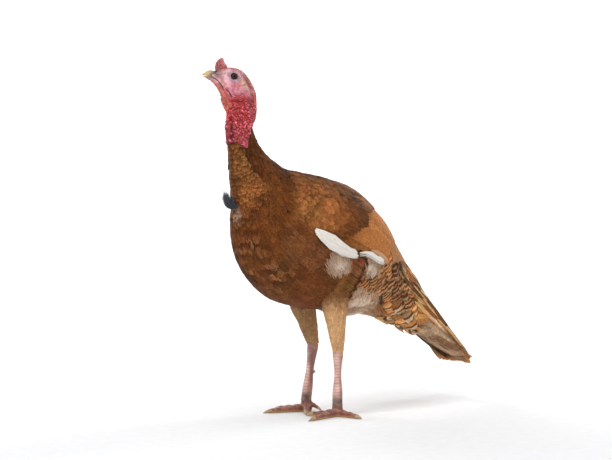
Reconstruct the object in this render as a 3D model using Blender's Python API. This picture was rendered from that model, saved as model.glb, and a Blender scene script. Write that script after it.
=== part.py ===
"""A bourbon red turkey, a young tom standing on the floor with its head up and turned to its right.

Metres, +Z up. The bird faces -Y, and its left side is +X. Everything is laid out from a point on the
floor between the feet, and at the end it moves by CENTRE_Y, so that the origin is the middle of the base
of its bounding box.
"""

import math
import random
from collections import namedtuple

import bmesh
import bpy
from mathutils import Matrix, Vector

GAP = 0.0003  # between pieces that touch
CENTRE_Y = 0.077  # from the feet back to the middle of the bird's length
NECK_AXIS_Y = -0.247  # the upright line that the head turns about

# The body, neck and head are one skin through these sections, from the tail's core to the bill's base.
# back and belly are (y, z) in the bird's upright plane, widest is how far up from the belly the section is
# widest, as a share of its height, and turn is how far the plane has turned to the bird's right, in degrees.
Section = namedtuple("Section", "back belly half_width widest turn")
BODY = {
    "tail core end": Section((0.334, 0.299), (0.302, 0.196), 0.031, 0.50, 0),
    "tail core": Section((0.299, 0.344), (0.252, 0.216), 0.045, 0.50, 0),
    "tail root": Section((0.256, 0.390), (0.190, 0.244), 0.060, 0.50, 0),
    "rump": Section((0.213, 0.444), (0.122, 0.260), 0.086, 0.50, 0),
    "rear back": Section((0.153, 0.513), (0.055, 0.263), 0.116, 0.50, 0),
    "middle back": Section((0.073, 0.573), (-0.010, 0.267), 0.134, 0.50, 0),
    "shoulder": Section((-0.006, 0.599), (-0.075, 0.275), 0.136, 0.48, 0),
    "breast": Section((-0.075, 0.611), (-0.150, 0.301), 0.127, 0.46, 0),
    "upper breast": Section((-0.122, 0.620), (-0.212, 0.356), 0.104, 0.45, 0),
    "crop": Section((-0.150, 0.637), (-0.246, 0.426), 0.079, 0.46, 0),
    "neck base": Section((-0.172, 0.653), (-0.254, 0.506), 0.057, 0.48, 0),
    "lower neck": Section((-0.197, 0.679), (-0.262, 0.586), 0.042, 0.50, 0),
    "end of feathers": Section((-0.2155, 0.716), (-0.270, 0.673), 0.033, 0.50, 2),
    "bare neck": Section((-0.2060, 0.747), (-0.2710, 0.742), 0.032, 0.50, 10),
    "throat": Section((-0.2045, 0.774), (-0.2810, 0.769), 0.032, 0.50, 20),
    "upper throat": Section((-0.2070, 0.803), (-0.2885, 0.7895), 0.031, 0.52, 27),
    "nape": Section((-0.2195, 0.8310), (-0.2938, 0.8035), 0.0272, 0.56, 30),
    "back of skull": Section((-0.2335, 0.8495), (-0.2985, 0.8115), 0.0250, 0.58, 30),
    "crown": Section((-0.2480, 0.8600), (-0.3025, 0.8165), 0.0240, 0.58, 30),
    "brow": Section((-0.2640, 0.8637), (-0.3060, 0.8207), 0.0218, 0.55, 30),
    "forehead": Section((-0.2800, 0.8627), (-0.3085, 0.8240), 0.0180, 0.52, 30),
    "lores": Section((-0.2955, 0.8592), (-0.3120, 0.8275), 0.0148, 0.50, 30),
    "bill base": Section((-0.3070, 0.8545), (-0.3160, 0.8310), 0.0118, 0.50, 30),
}
STATION = {name: index for index, name in enumerate(BODY)}
CHANNELS = [
    [section.back[0] for section in BODY.values()],
    [section.back[1] for section in BODY.values()],
    [section.belly[0] for section in BODY.values()],
    [section.belly[1] for section in BODY.values()],
    [section.half_width for section in BODY.values()],
    [section.widest for section in BODY.values()],
    [section.turn for section in BODY.values()],
]
BODY_ROUNDNESS = 0.98  # under 1, the sections are a little squarer than ellipses

Leg = namedtuple("Leg", "side hip knee_bulge hock ankle turn_out toes")
Toe = namedtuple("Toe", "heading length claw")
# Headings are degrees from straight ahead, outward from the bird.
LEGS = {
    "left": Leg(
        side=1,
        hip=(0.071, -0.010, 0.341),
        knee_bulge=(0.073, -0.008, 0.273),
        hock=(0.062, 0.0100, 0.166),
        ankle=(0.0575, 0.0115, 0.032),
        turn_out=14,
        toes={"inner": Toe(-33, 0.062, 0.017), "middle": Toe(14, 0.094, 0.022), "outer": Toe(101, 0.062, 0.019)},
    ),
    "right": Leg(
        side=-1,
        hip=(-0.071, -0.003, 0.341),
        knee_bulge=(-0.073, 0.002, 0.273),
        hock=(-0.060, 0.0245, 0.172),
        ankle=(-0.0575, 0.0005, 0.032),
        turn_out=12,
        toes={"inner": Toe(-52, 0.060, 0.017), "middle": Toe(16, 0.096, 0.022), "outer": Toe(50, 0.070, 0.018)},
    ),
}
HIND_TOE = Toe(-130, 0.030, 0.013)

TAIL_CUT = 2.2  # the stations where the tail ends and the torso begins,
NECK_CUT = 10.7  # where the torso ends and the feathered neck begins,
HEAD_CUT = 15.1  # and where the bare neck ends and the head begins

EYE = (17.4, 80)  # the station and the angle of each eye, in degrees from the back
EYE_RADIUS = 0.0083
EYE_DEPTH = 0.0045  # of the eye's middle under the skin
EAR = (15.85, 62)
MOUTH_CORNER = (15.85, 137)
MOUTH_ANGLE = 109  # of the slit between the halves of the bill, in degrees from the culmen
NOSTRIL = (21.4, 53)
BILL_TIP = Vector((0, -0.3380, 0.8450))  # in the head's upright plane, before it turns
SNOOD_BASE = Vector((0, -0.2885, 0.8560))
SNOOD_TIP = Vector((0, -0.2870, 0.8860))

# A row of vanes of the folded wing. Roots and tips run from the lowest vane to the highest, and each is a
# station and an angle in degrees from the back. height is of the vane's upper face over the skin, at its
# root and at its tip, and tilt lifts its lower edge clear of the next vane down.
Tier = namedtuple("Tier", "count roots tips half_width height tilt point")
WING_TIERS = [
    Tier(2, [(6.6, 92), (6.3, 88)], [(4.25, 102), (3.70, 94)], 0.012, (0.0026, 0.0032), 7, 0.30),
    Tier(5, [(6.2, 84), (5.6, 42)], [(3.45, 86), (2.50, 50)], 0.0150, (0.0034, 0.0050), 9, 0.62),
    Tier(3, [(5.6, 36), (5.4, 22)], [(2.60, 41), (3.20, 24)], 0.0150, (0.0042, 0.0062), 9, 0.55),
    Tier(5, [(7.3, 82), (6.5, 30)], [(5.75, 86), (4.35, 29)], 0.0150, (0.0074, 0.0092), 8, 0.50),
    Tier(4, [(7.7, 78), (7.1, 32)], [(6.55, 82), (5.55, 29)], 0.0150, (0.0098, 0.0122), 8, 0.45),
]
# The arm and hand under their roots: station, upper angle, lower angle and thickness.
WING_ARM = [(8.15, 54, 66, 0.0040), (7.9, 42, 76, 0.0095), (7.5, 34, 84, 0.0115), (7.0, 29, 89, 0.0110),
            (6.5, 26, 92, 0.0090), (6.0, 24, 91, 0.0072), (5.5, 24, 80, 0.0056), (5.15, 28, 62, 0.0044)]
VANE_THICKNESS = 0.0012

TAIL_VANES = 5  # to each side, besides the middle one
TAIL_ROOT = Vector((0.0, 0.272, 0.338))  # of the middle feather, inside the core
TAIL_TIP = Vector((0.0, 0.480, 0.100))
TAIL_EDGE_ROOT = Vector((0.011, 0.2775, 0.3317))  # of the outermost feather
TAIL_EDGE_TIP = Vector((0.060, 0.471, 0.1105))
TAIL_ARCH = 0.003  # how far the feathers bow up between root and tip
# Rows of tail coverts: how many to each side of the middle, station and widest angle of the roots,
# how far along the tail feathers the tips reach, height of the tips over them, and half width.
Coverts = namedtuple("Coverts", "sides station spread reach height half_width")
UPPER_COVERTS = [
    Coverts(1.5, 0.50, 42, 0.62, 0.0070, 0.0185),
    Coverts(2.0, 1.50, 56, 0.36, 0.0130, 0.0190),
]
UNDER_COVERTS = [
    Coverts(2.0, 0.15, 50, 0.76, 0.0260, 0.0170),
    Coverts(1.5, 0.85, 50, 0.56, 0.0440, 0.0200),
    Coverts(2.0, 1.55, 62, 0.34, 0.0660, 0.0210),
]

CARUNCLE_ROWS = 5  # up the bare neck
CARUNCLES_ROUND = 6
SCUTES = 9  # down the front of each shank
TOE_SCUTES = 5
SPUR_LENGTH = 0.009


def smooth(values, s):
    """The value at s on a Catmull-Rom curve through values at 0, 1, 2 and so on."""
    last = len(values) - 1
    index = min(max(int(math.floor(s)), 0), last - 1)
    t = s - index
    p0, p1 = values[max(index - 1, 0)], values[index]
    p2, p3 = values[index + 1], values[min(index + 2, last)]
    return 0.5 * (
        2 * p1
        + (p2 - p0) * t
        + (2 * p0 - 5 * p1 + 4 * p2 - p3) * t * t
        + (3 * p1 - p0 - 3 * p2 + p3) * t * t * t
    )


def body_point(s, angle):
    """The point of the skin at station s and at angle, from 0 at the back by the left side to pi at the belly."""
    back_y, back_z, belly_y, belly_z, half_width, widest, turn = [smooth(values, s) for values in CHANNELS]
    c, sn = math.cos(angle), math.sin(angle)
    up = widest + (1 - widest if c >= 0 else widest) * math.copysign(abs(c) ** BODY_ROUNDNESS, c)
    across = half_width * math.copysign(abs(sn) ** BODY_ROUNDNESS, sn)
    y = belly_y + up * (back_y - belly_y) - NECK_AXIS_Y
    z = belly_z + up * (back_z - belly_z)
    turned = math.radians(turn)
    return Vector((
        across * math.cos(turned) + y * math.sin(turned),
        NECK_AXIS_Y - across * math.sin(turned) + y * math.cos(turned),
        z,
    ))


def body_frame(s, angle):
    """The skin's point there with three unit vectors: along it towards the tail, across it, and out of it."""
    step = 0.02
    along = body_point(s - step, angle) - body_point(s + step, angle)
    across = body_point(s, angle + step) - body_point(s, angle - step)
    out = along.cross(across).normalized()
    centre = (body_point(s, 0) + body_point(s, math.pi)) / 2
    point = body_point(s, angle)
    if out.dot(point - centre) < 0:
        out.negate()
    along.normalize()
    return point, along, out.cross(along).normalized(), out


def mesh_object(name, points, faces):
    """A mesh object with its faces turned to point out."""
    mesh = bpy.data.meshes.new(name)
    mesh.from_pydata([tuple(point) for point in points], [], faces)
    shape = bmesh.new()
    shape.from_mesh(mesh)
    bmesh.ops.recalc_face_normals(shape, faces=shape.faces)
    if shape.calc_volume(signed=True) < 0:
        bmesh.ops.reverse_faces(shape, faces=shape.faces)
    shape.to_mesh(mesh)
    shape.free()
    made = bpy.data.objects.new(name, mesh)
    bpy.context.scene.collection.objects.link(made)
    return made


def loft(name, rings):
    """A closed surface through rings of as many points each, with both ends capped."""
    sides = len(rings[0])
    points = [point for ring in rings for point in ring]
    faces = []
    for row in range(len(rings) - 1):
        for k in range(sides):
            a, b = row * sides + k, row * sides + (k + 1) % sides
            faces.append((a, b, b + sides, a + sides))
    faces.append(tuple(range(sides)))
    faces.append(tuple(range((len(rings) - 1) * sides, len(rings) * sides)))
    return mesh_object(name, points, faces)


def body_ring(s, sides, shift=0.0):
    """One section of the skin, moved by shift along the section's own normal, towards the head."""
    ring = [body_point(s, 2 * math.pi * k / sides) for k in range(sides)]
    if shift:
        left, right = ring[sides // 4], ring[3 * sides // 4]
        normal = (ring[0] - ring[sides // 2]).cross(left - right).normalized()
        ahead = body_point(s + 0.1, 0) + body_point(s + 0.1, math.pi) - ring[0] - ring[sides // 2]
        normal *= shift if normal.dot(ahead) > 0 else -shift
        ring = [point + normal for point in ring]
    return ring


def body_segment(name, start, end, rows, sides, gap_at_start=True):
    """The length of the body between two stations. It starts GAP past its start, clear of the length before."""
    rings = [body_ring(start, sides, GAP if gap_at_start else 0.0)]
    for row in range(1, rows + 1):
        rings.append(body_ring(start + (end - start) * row / rows, sides))
    return loft(name, rings)


def grown(source, name, amount):
    """A copy of an object with every point moved out along its normal."""
    copy = bpy.data.objects.new(name, source.data.copy())
    bpy.context.scene.collection.objects.link(copy)
    normals = [vertex.normal.copy() for vertex in source.data.vertices]
    for vertex, normal in zip(copy.data.vertices, normals):
        vertex.co += normal * amount
    return copy


def ball(name, centre, radii, turn=None, segments=12, rings=8):
    """An ellipsoid with its radii along the axes that turn, a rotation matrix, gives."""
    shape = bmesh.new()
    bmesh.ops.create_uvsphere(shape, u_segments=segments, v_segments=rings, radius=1.0)
    place = Matrix.Translation(centre) @ (turn.to_4x4() if turn else Matrix.Identity(4))
    bmesh.ops.transform(shape, matrix=place @ Matrix.Diagonal((*radii, 1.0)), verts=shape.verts)
    mesh = bpy.data.meshes.new(name)
    shape.to_mesh(mesh)
    shape.free()
    made = bpy.data.objects.new(name, mesh)
    bpy.context.scene.collection.objects.link(made)
    return made


def bulb(name, centre, radii, turn, fine=False):
    """A small faceted bulb with its radii along the axes that turn gives."""
    shape = bmesh.new()
    bmesh.ops.create_icosphere(shape, subdivisions=2 if fine else 1, radius=1.0)
    place = Matrix.Translation(centre) @ turn.to_4x4() @ Matrix.Diagonal((*radii, 1.0))
    bmesh.ops.transform(shape, matrix=place, verts=shape.verts)
    mesh = bpy.data.meshes.new(name)
    shape.to_mesh(mesh)
    shape.free()
    made = bpy.data.objects.new(name, mesh)
    bpy.context.scene.collection.objects.link(made)
    return made


def basis(forward, up):
    """A rotation whose columns are forward, left and up, with up made square to forward."""
    forward = forward.normalized()
    left = up.cross(forward).normalized()
    return Matrix((forward, left, forward.cross(left))).transposed()


def tube_rings(path, radii, sides, up):
    """The rings of a tube along path, with radii (across, upward) at each point, and its axis at each ring."""
    rings, axes = [], []
    for row, centre in enumerate(path):
        before, after = path[max(row - 1, 0)], path[min(row + 1, len(path) - 1)]
        frame = basis(after - before, up)
        across, upward = radii[row]
        ring = []
        for k in range(sides):
            angle = 2 * math.pi * k / sides
            ring.append(centre + frame.col[1] * (across * math.sin(angle)) + frame.col[2] * (upward * math.cos(angle)))
        rings.append(ring)
        axes.append(frame.col[0])
    return rings, axes


def moved(ring, offset):
    """A ring moved by offset."""
    return [point + offset for point in ring]


def boolean(target, operation, tools, solver="MANIFOLD"):
    """Applies one Boolean of tools to target, and removes the tools."""
    group = bpy.data.collections.new("tools")
    bpy.context.scene.collection.children.link(group)
    for tool in tools:
        bpy.context.scene.collection.objects.unlink(tool)
        group.objects.link(tool)
    modifier = target.modifiers.new(operation.lower(), "BOOLEAN")
    modifier.operation = operation
    modifier.solver = solver
    modifier.operand_type = "COLLECTION"
    modifier.collection = group
    graph = bpy.context.evaluated_depsgraph_get()
    result = bpy.data.meshes.new_from_object(target.evaluated_get(graph))
    target.modifiers.clear()
    target.data = result
    for tool in tools:
        bpy.data.objects.remove(tool)
    bpy.data.collections.remove(group)
    keep_largest(target)
    return target


def keep_largest(target):
    """Keeps only the closed surface with the most faces, which drops scraps and fills sealed hollows."""
    shape = bmesh.new()
    shape.from_mesh(target.data)
    left = set(shape.faces)
    parts = []
    while left:
        start = left.pop()
        part, front = {start}, [start]
        while front:
            for edge in front.pop().edges:
                for face in edge.link_faces if len(edge.link_faces) == 2 else ():
                    if face in left:
                        left.remove(face)
                        part.add(face)
                        front.append(face)
        parts.append(part)
    largest = max(parts, key=len)
    bmesh.ops.delete(shape, geom=[face for face in shape.faces if face not in largest], context="FACES")
    shape.to_mesh(target.data)
    shape.free()


def vane(name, spine, normals, widths, tilts, thickness=VANE_THICKNESS):
    """A feather's vane, a thin plate along spine. widths are (right, left) of it and tilts lift its right edge.

    Both faces are split into triangles alike, so that they can't cross where the vane curves.
    """
    rows = len(spine)
    points = []
    for row, centre in enumerate(spine):
        before, after = spine[max(row - 1, 0)], spine[min(row + 1, rows - 1)]
        normal = normals[row].normalized()
        across = normal.cross(after - before).normalized()
        leaning = across * math.cos(tilts[row]) + normal * math.sin(tilts[row])
        depth = thickness * (1 - 0.35 * row / (rows - 1))
        left, right = widths[row]
        for top in (centre - leaning * left, centre + leaning * right):
            points += [top, top - normal * depth]
    faces = []
    for row in range(rows - 1):
        a, b, c, d = row * 4, row * 4 + 2, row * 4 + 6, row * 4 + 4
        faces += [(a, b, c), (a, c, d), (a + 1, b + 1, c + 1), (a + 1, c + 1, d + 1)]
        faces += [(a, a + 1, d + 1), (a, d + 1, d), (b, b + 1, c + 1), (b, c + 1, c)]
    for a in (0, rows * 4 - 4):
        faces += [(a, a + 1, a + 3), (a, a + 3, a + 2)]
    return mesh_object(name, points, faces)


VANE_ROWS = (0.0, 0.36, 0.72, 0.92, 1.0)


def vane_widths(half_width, point):
    """Half widths at VANE_ROWS. point is the last one's share of the whole, small for a pointed tip."""
    shares = (0.40, 0.86, 1.0, 0.5 + 0.5 * point, point * 0.55)
    return [(half_width * share, half_width * share) for share in shares]


def even_tilts(degrees, root_degrees=None):
    """Tilts at VANE_ROWS in radians, from root_degrees at the root to degrees at the tip."""
    first = degrees if root_degrees is None else root_degrees
    return [math.radians(first + (degrees - first) * min(1.0, t * 1.6)) for t in VANE_ROWS]


def blend(pair, t):
    """The value between the two of pair at t, for numbers or for tuples of them."""
    if isinstance(pair[0], tuple):
        return tuple(a + (b - a) * t for a, b in zip(*pair))
    return pair[0] + (pair[1] - pair[0]) * t


def build_body():
    """The torso, the two lengths of the neck and the head, parted by thin cuts."""
    torso = body_segment("torso", TAIL_CUT, NECK_CUT, 19, 28, gap_at_start=False)
    neck = body_segment("neck_feathered", NECK_CUT, STATION["end of feathers"], 4, 20)
    bare = body_segment("neck_bare", STATION["end of feathers"], HEAD_CUT, 6, 20)
    head = body_segment("head", HEAD_CUT, STATION["bill base"], 13, 22)
    return torso, neck, bare, head


def turned_head(y, z, across=0.0):
    """A point of the head's upright plane, turned with the head."""
    turned = math.radians(BODY["bill base"].turn)
    y -= NECK_AXIS_Y
    return Vector((
        across * math.cos(turned) + y * math.sin(turned),
        NECK_AXIS_Y - across * math.sin(turned) + y * math.cos(turned),
        z,
    ))


def ring_tube(name, path, radius, sides=6):
    """A closed tube round a closed path."""
    count = len(path)
    middle = sum(path, Vector()) / count
    points, faces = [], []
    for row, centre in enumerate(path):
        along = (path[(row + 1) % count] - path[row - 1]).normalized()
        outward = (centre - middle).normalized()
        up = along.cross(outward).normalized()
        for k in range(sides):
            angle = 2 * math.pi * k / sides
            points.append(centre + outward * (radius * math.cos(angle)) + up * (radius * math.sin(angle)))
    for row in range(count):
        for k in range(sides):
            a, b = row * sides + k, row * sides + (k + 1) % sides
            c, d = (b + sides) % len(points), (a + sides) % len(points)
            faces.append((a, b, c, d))
    return mesh_object(name, points, faces)


def face_path(side, marks, lift=0.0):
    """Points of the skin at pairs of station and angle, lifted off it."""
    points = []
    for s, degrees in marks:
        point, along, across, out = body_frame(s, side * math.radians(degrees))
        points.append(point + out * lift)
    return points


def mouth_marks():
    """The line of the mouth on the side of the face, from in front of the bill's base to its corner."""
    s, degrees = MOUTH_CORNER
    last = len(BODY) - 1
    marks = []
    for k in range(6):
        t = k / 5
        marks.append((last + 0.3 - (last + 0.3 - s) * t, MOUTH_ANGLE + (degrees - MOUTH_ANGLE) * t + 16 * math.sin(math.pi * t)))
    return marks


def clamp_station(marks):
    """The same marks with no station past the bill's base."""
    return [(min(s, len(BODY) - 1), degrees) for s, degrees in marks]


def build_head(head):
    """The eyes, and on the head the lids, ear cups, lips, the line of the mouth and the nostrils."""
    added, cut = [], []
    for name, side in (("left", 1), ("right", -1)):
        point, along, across, out = body_frame(EYE[0], side * math.radians(EYE[1]))
        centre = point - out * EYE_DEPTH
        frame = basis(out, along)
        ball("eye_" + name, centre, (EYE_RADIUS,) * 3, frame, 10, 6)
        cut.append(ball("socket", centre, (EYE_RADIUS + GAP * 2,) * 3, frame, 10, 6))
        lid = []
        for k in range(9):
            angle = 2 * math.pi * k / 9
            reach = 0.0079 * abs(math.cos(angle)) ** 2 + 0.0067 * abs(math.sin(angle)) ** 2
            lid.append(point + along * (reach * math.cos(angle)) + across * (reach * math.sin(angle)) + out * 0.0004)
        added.append(ring_tube("lids", lid, 0.0019, 4))

        point, along, across, out = body_frame(EAR[0], side * math.radians(EAR[1]))
        rim = []
        for k in range(7):
            angle = 2 * math.pi * k / 7
            rim.append(point + along * (0.0046 * math.cos(angle)) + across * (0.0036 * math.sin(angle)))
        added.append(ring_tube("ear rim", rim, 0.0013, 4))
        cut.append(ball("ear hollow", point, (0.0022, 0.0035, 0.0026), basis(out, along), 6, 4))

        marks = mouth_marks()
        lips = face_path(side, clamp_station(marks)[1:], -0.0002)
        rings, axes = tube_rings(lips, [(0.0019, 0.0019)] * len(lips), 5, Vector((0, 0, 1)))
        added.append(loft("lips", rings))
        slit = face_path(side, clamp_station(marks), 0.0007)
        slit[0] = slit[0] + (slit[0] - slit[1]).normalized() * 0.004
        rings, axes = tube_rings(slit, [(0.0016, 0.0006)] * len(slit), 4, Vector((0, 0, 1)))
        cut.append(loft("mouth", rings))

        point, along, across, out = body_frame(NOSTRIL[0], side * math.radians(NOSTRIL[1]))
        rim = []
        for k in range(6):
            angle = 2 * math.pi * k / 6
            rim.append(point + along * (0.0032 * math.cos(angle)) + across * (0.0019 * math.sin(angle)))
        added.append(ring_tube("nostril rim", rim, 0.0008, 4))
        cut.append(ball("nostril", point, (0.0016, 0.0024, 0.0011), basis(out, along), 6, 4))
    front = body_ring(STATION["bill base"], 22)
    boolean(head, "UNION", added)
    cut.append(front_trim(front))
    boolean(head, "DIFFERENCE", cut)


def front_trim(ring):
    """A block in front of a ring's plane, to keep what is joined near it from reaching past it."""
    middle = sum(ring, Vector()) / len(ring)
    normal = (ring[0] - ring[11]).cross(ring[5] - ring[17]).normalized()
    if normal.y > 0:
        normal.negate()
    frame = basis(normal, Vector((0, 0, 1)))
    shape = bmesh.new()
    place = Matrix.Translation(middle + normal * 0.0150) @ frame.to_4x4()
    bmesh.ops.create_cube(shape, size=0.03, matrix=place)
    mesh = bpy.data.meshes.new("trim")
    shape.to_mesh(mesh)
    shape.free()
    made = bpy.data.objects.new("trim", mesh)
    bpy.context.scene.collection.objects.link(made)
    return made


def build_bill():
    """The upper and lower halves of the bill, parted by the mouth."""
    base = body_ring(STATION["bill base"], 24, GAP)
    middle = sum(base, Vector()) / len(base)
    tip = turned_head(BILL_TIP.y, BILL_TIP.z)
    for name, first, last in (("bill_upper", -MOUTH_ANGLE, MOUTH_ANGLE), ("bill_lower", MOUTH_ANGLE, 360 - MOUTH_ANGLE)):
        rings = []
        lower = name == "bill_lower"
        slit_up = math.cos(math.radians(MOUTH_ANGLE)) * 0.0115
        for row in range(8):
            t = row / 7
            size = min(1.0, (1 - t ** 1.7) * (1 - 0.10 * t) + (0.10 if lower else 0.08))
            centre = middle.lerp(tip + Vector((0, 0, -slit_up * 0.2)), t * (0.88 if lower else 1.0))
            centre.z += (0.0016 if lower else 0.0026) * math.sin(math.pi * t)
            ring = []
            for k in range(9):
                angle = math.radians(first + (last - first) * k / 8) % (2 * math.pi)
                at = angle / (2 * math.pi) * 24
                near, far = base[int(at) % 24], base[(int(at) + 1) % 24]
                offset = near.lerp(far, at % 1) - middle
                ring.append(centre + offset * size + Vector((0, 0, slit_up * (1 - size) * 0.8)))
            for k in (0, 8):
                ring[k] = ring[k] + Vector((0, 0, -GAP if lower else GAP))
            rings.append(ring)
        loft(name, rings)


def build_snood(head):
    """The snood, a short wrinkled horn on the forehead."""
    base = turned_head(SNOOD_BASE.y, SNOOD_BASE.z)
    tip = turned_head(SNOOD_TIP.y, SNOOD_TIP.z)
    path, radii = [], []
    rows = 11
    for row in range(rows):
        t = row / (rows - 1)
        centre = base.lerp(tip, t)
        centre.z -= 0.002 * math.sin(math.pi * t)
        swell = 1.0 if row % 2 else 0.88
        path.append(centre)
        radii.append(((0.0062 * (1 - t ** 1.6) + 0.0012) * swell, (0.0128 * (1 - t) ** 0.8 + 0.0020) * swell))
    rings, axes = tube_rings(path, radii, 10, turned_head(-0.30, 0.86) - turned_head(-0.25, 0.86))
    snood = loft("snood", rings)
    boolean(snood, "DIFFERENCE", [grown(head, "clearance", GAP)])


def build_caruncles(bare, neck):
    """The warty skin of the bare neck, rows of bulbs that grow larger towards its foot."""
    draw = random.Random(4)
    bulbs = []
    for row in range(CARUNCLE_ROWS):
        t = row / (CARUNCLE_ROWS - 1)
        s = 12.45 + (14.8 - 12.45) * t
        size = 0.0088 - 0.0026 * t
        for k in range(CARUNCLES_ROUND):
            angle = 2 * math.pi * (k + 0.5 * (row % 2) + 0.12 * draw.uniform(-1, 1)) / CARUNCLES_ROUND
            if math.cos(angle - math.pi) > 0.93:
                continue
            point, along, across, out = body_frame(s + 0.05 * draw.uniform(-1, 1), angle)
            grow = size * draw.uniform(0.85, 1.15)
            turn = basis(out, along) @ Matrix.Rotation(draw.uniform(0, 3), 3, "X")
            bulbs.append(bulb("bulb", point + out * grow * 0.10, (grow * 0.60, grow, grow), turn))
    for side in (1, -1):
        for s, degrees, radii in (
            (12.20, 130, (0.0090, 0.0135, 0.0095)),
            (12.02, 98, (0.0075, 0.0120, 0.0080)),
            (12.15, 62, (0.0055, 0.0085, 0.0075)),
        ):
            point, along, across, out = body_frame(s, side * math.radians(degrees))
            bulbs.append(bulb("lobe", point + out * 0.002, radii, basis(out, along)))
    boolean(bare, "UNION", bulbs)
    boolean(bare, "DIFFERENCE", [grown(neck, "clearance", GAP)])


def build_wattle(neck):
    """The dewlap, a wavy fold of skin down the front of the bare neck."""
    path, radii = [], []
    rows = 13
    for row in range(rows):
        t = row / (rows - 1)
        point, along, across, out = body_frame(14.9 - 2.75 * t, math.pi)
        sway = 0.0012 * math.sin(t * 17)
        path.append(point + across * sway)
        notch = 1.0 if row % 2 else 0.86
        radii.append((0.0030 + 0.0020 * t, (0.0045 + 0.0062 * math.sin(math.pi * min(t * 0.72 + 0.20, 1)) ** 2) * notch))
    rings, axes = tube_rings(path, radii, 8, Vector((0, -1, 0)))
    wattle = loft("wattle", rings)
    boolean(wattle, "DIFFERENCE", [grown(neck, "clearance", GAP)])


def build_beard(torso):
    """The beard, flat tapered locks of bristle on the breast that curl forward and up."""
    draw = random.Random(7)
    root = body_point(10.40, math.pi)
    locks = []
    for k in range(5):
        spread = (k - 2) / 2
        reach = draw.uniform(0.88, 1.08)
        spine, normals = [], []
        for t in VANE_ROWS:
            forward = -0.0045 - 0.0004 * k + (0.043 + 0.0004 * k) * math.sin(t * 1.45) * reach
            rise = (-0.010 * math.sin(math.pi * t * 0.9) + 0.030 * t ** 2.2) * reach + 0.0030 * draw.uniform(-1, 1) * t
            spine.append(root + Vector((spread * (0.0058 + 0.004 * t), -forward, rise + 0.0012 * (k % 3 - 1))))
            normals.append(Vector((0.35 * spread, -0.8 * t, 1.0)))
        widths = [(share, share) for share in (0.0042, 0.0044, 0.0032, 0.0016, 0.0005)]
        locks.append(vane("lock", spine, normals, widths, even_tilts(14 * spread), 0.0018))
    core = [root + Vector((0, y, z)) for y, z in ((0.011, 0.0), (-0.006, -0.003), (-0.016, -0.0075), (-0.022, -0.0085))]
    rings, axes = tube_rings(core, [(0.0085, 0.0050), (0.0085, 0.0052), (0.0070, 0.0040), (0.0040, 0.0022)], 7, Vector((0, 0, 1)))
    beard = loft("beard", rings)
    boolean(beard, "UNION", locks, "MANIFOLD")
    boolean(beard, "DIFFERENCE", [grown(torso, "clearance", GAP)], "MANIFOLD")


def build_wing_arm(name, side):
    """The arm and hand of the folded wing, which lie on the torso under the roots of the feathers."""
    columns = 6
    rings = []
    for s, top, bottom, thickness in WING_ARM:
        outer, inner = [], []
        for column in range(columns):
            t = column / (columns - 1)
            point, along, across, out = body_frame(s, side * math.radians(top + (bottom - top) * t))
            rim = min(1.0, 0.30 + 2.4 * min(t, 1 - t))
            outer.append(point + out * thickness * rim)
            inner.append(point - out * 0.004)
        rings.append(outer + inner[::-1])
    return loft(name, rings)


def wing_vane(side, root, tip, half_width, height, tilt, point):
    """One vane of the folded wing, laid along the torso from root to tip, each a station and an angle."""
    spine, normals = [], []
    for t in VANE_ROWS:
        s, degrees = blend((root, tip), t)
        degrees += 3.0 * math.sin(math.pi * t)
        skin, along, across, out = body_frame(s, side * math.radians(degrees))
        spine.append(skin + out * blend(height, t))
        normals.append(out)
    return vane("vane", spine, normals, vane_widths(half_width, point), even_tilts(side * tilt))


def build_wing(name, side, torso):
    """A folded wing, its vanes in tiers that overlap from the arm back."""
    vanes = []
    for number, tier in enumerate(WING_TIERS):
        draw = random.Random(number)
        for k in range(tier.count):
            t = k / (tier.count - 1)
            root, tip = blend(tier.roots, t), blend(tier.tips, t)
            tip = (tip[0] + 0.10 * draw.uniform(-1, 1), tip[1])
            vanes.append(wing_vane(side, root, tip, tier.half_width, tier.height, tier.tilt, tier.point))
    wing = build_wing_arm("wing_" + name, side)
    boolean(wing, "UNION", vanes)
    boolean(wing, "DIFFERENCE", [grown(torso, "clearance", GAP)])


def fan_point(q, t):
    """A point of the sheet that the tail feathers lie on: q from -1 to 1 across it, t from 0 to 1 along it."""
    side, q = math.copysign(1, q), abs(q)
    root = TAIL_ROOT.lerp(TAIL_EDGE_ROOT, q * q)
    tip = TAIL_TIP.lerp(TAIL_EDGE_TIP, q * q)
    root.x, tip.x = TAIL_EDGE_ROOT.x * q, TAIL_EDGE_TIP.x * q
    point = root.lerp(tip, t)
    bow = TAIL_ARCH * math.sin(math.pi * t)
    return Vector((side * point.x, point.y + bow * 0.76, point.z + bow * 0.65))


def fan_normal(q, t):
    """The sheet's upper normal there."""
    across = fan_point(q + 0.04, t) - fan_point(q - 0.04, t)
    along = fan_point(q, t + 0.02) - fan_point(q, t - 0.02)
    return across.cross(along).normalized()


def tail_feathers():
    """The long feathers, stacked like a closed fan: the middle one on top and each outer one under the last."""
    vanes = []
    for order in range(2 * TAIL_VANES + 1):
        side = 1 if order % 2 else -1
        k = (order + 1) // 2
        q = side * k / TAIL_VANES
        drop = 0.0014 * order
        spine = [fan_point(q, t) - fan_normal(0, t) * drop for t in VANE_ROWS]
        normals = [fan_normal(0, t) for t in VANE_ROWS]
        widths = [(width, width) for width in (0.0040, 0.0115, 0.0175, 0.0135, 0.0050)]
        vanes.append(vane("vane", spine, normals, widths, even_tilts(0), 0.0010))
    return vanes


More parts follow.
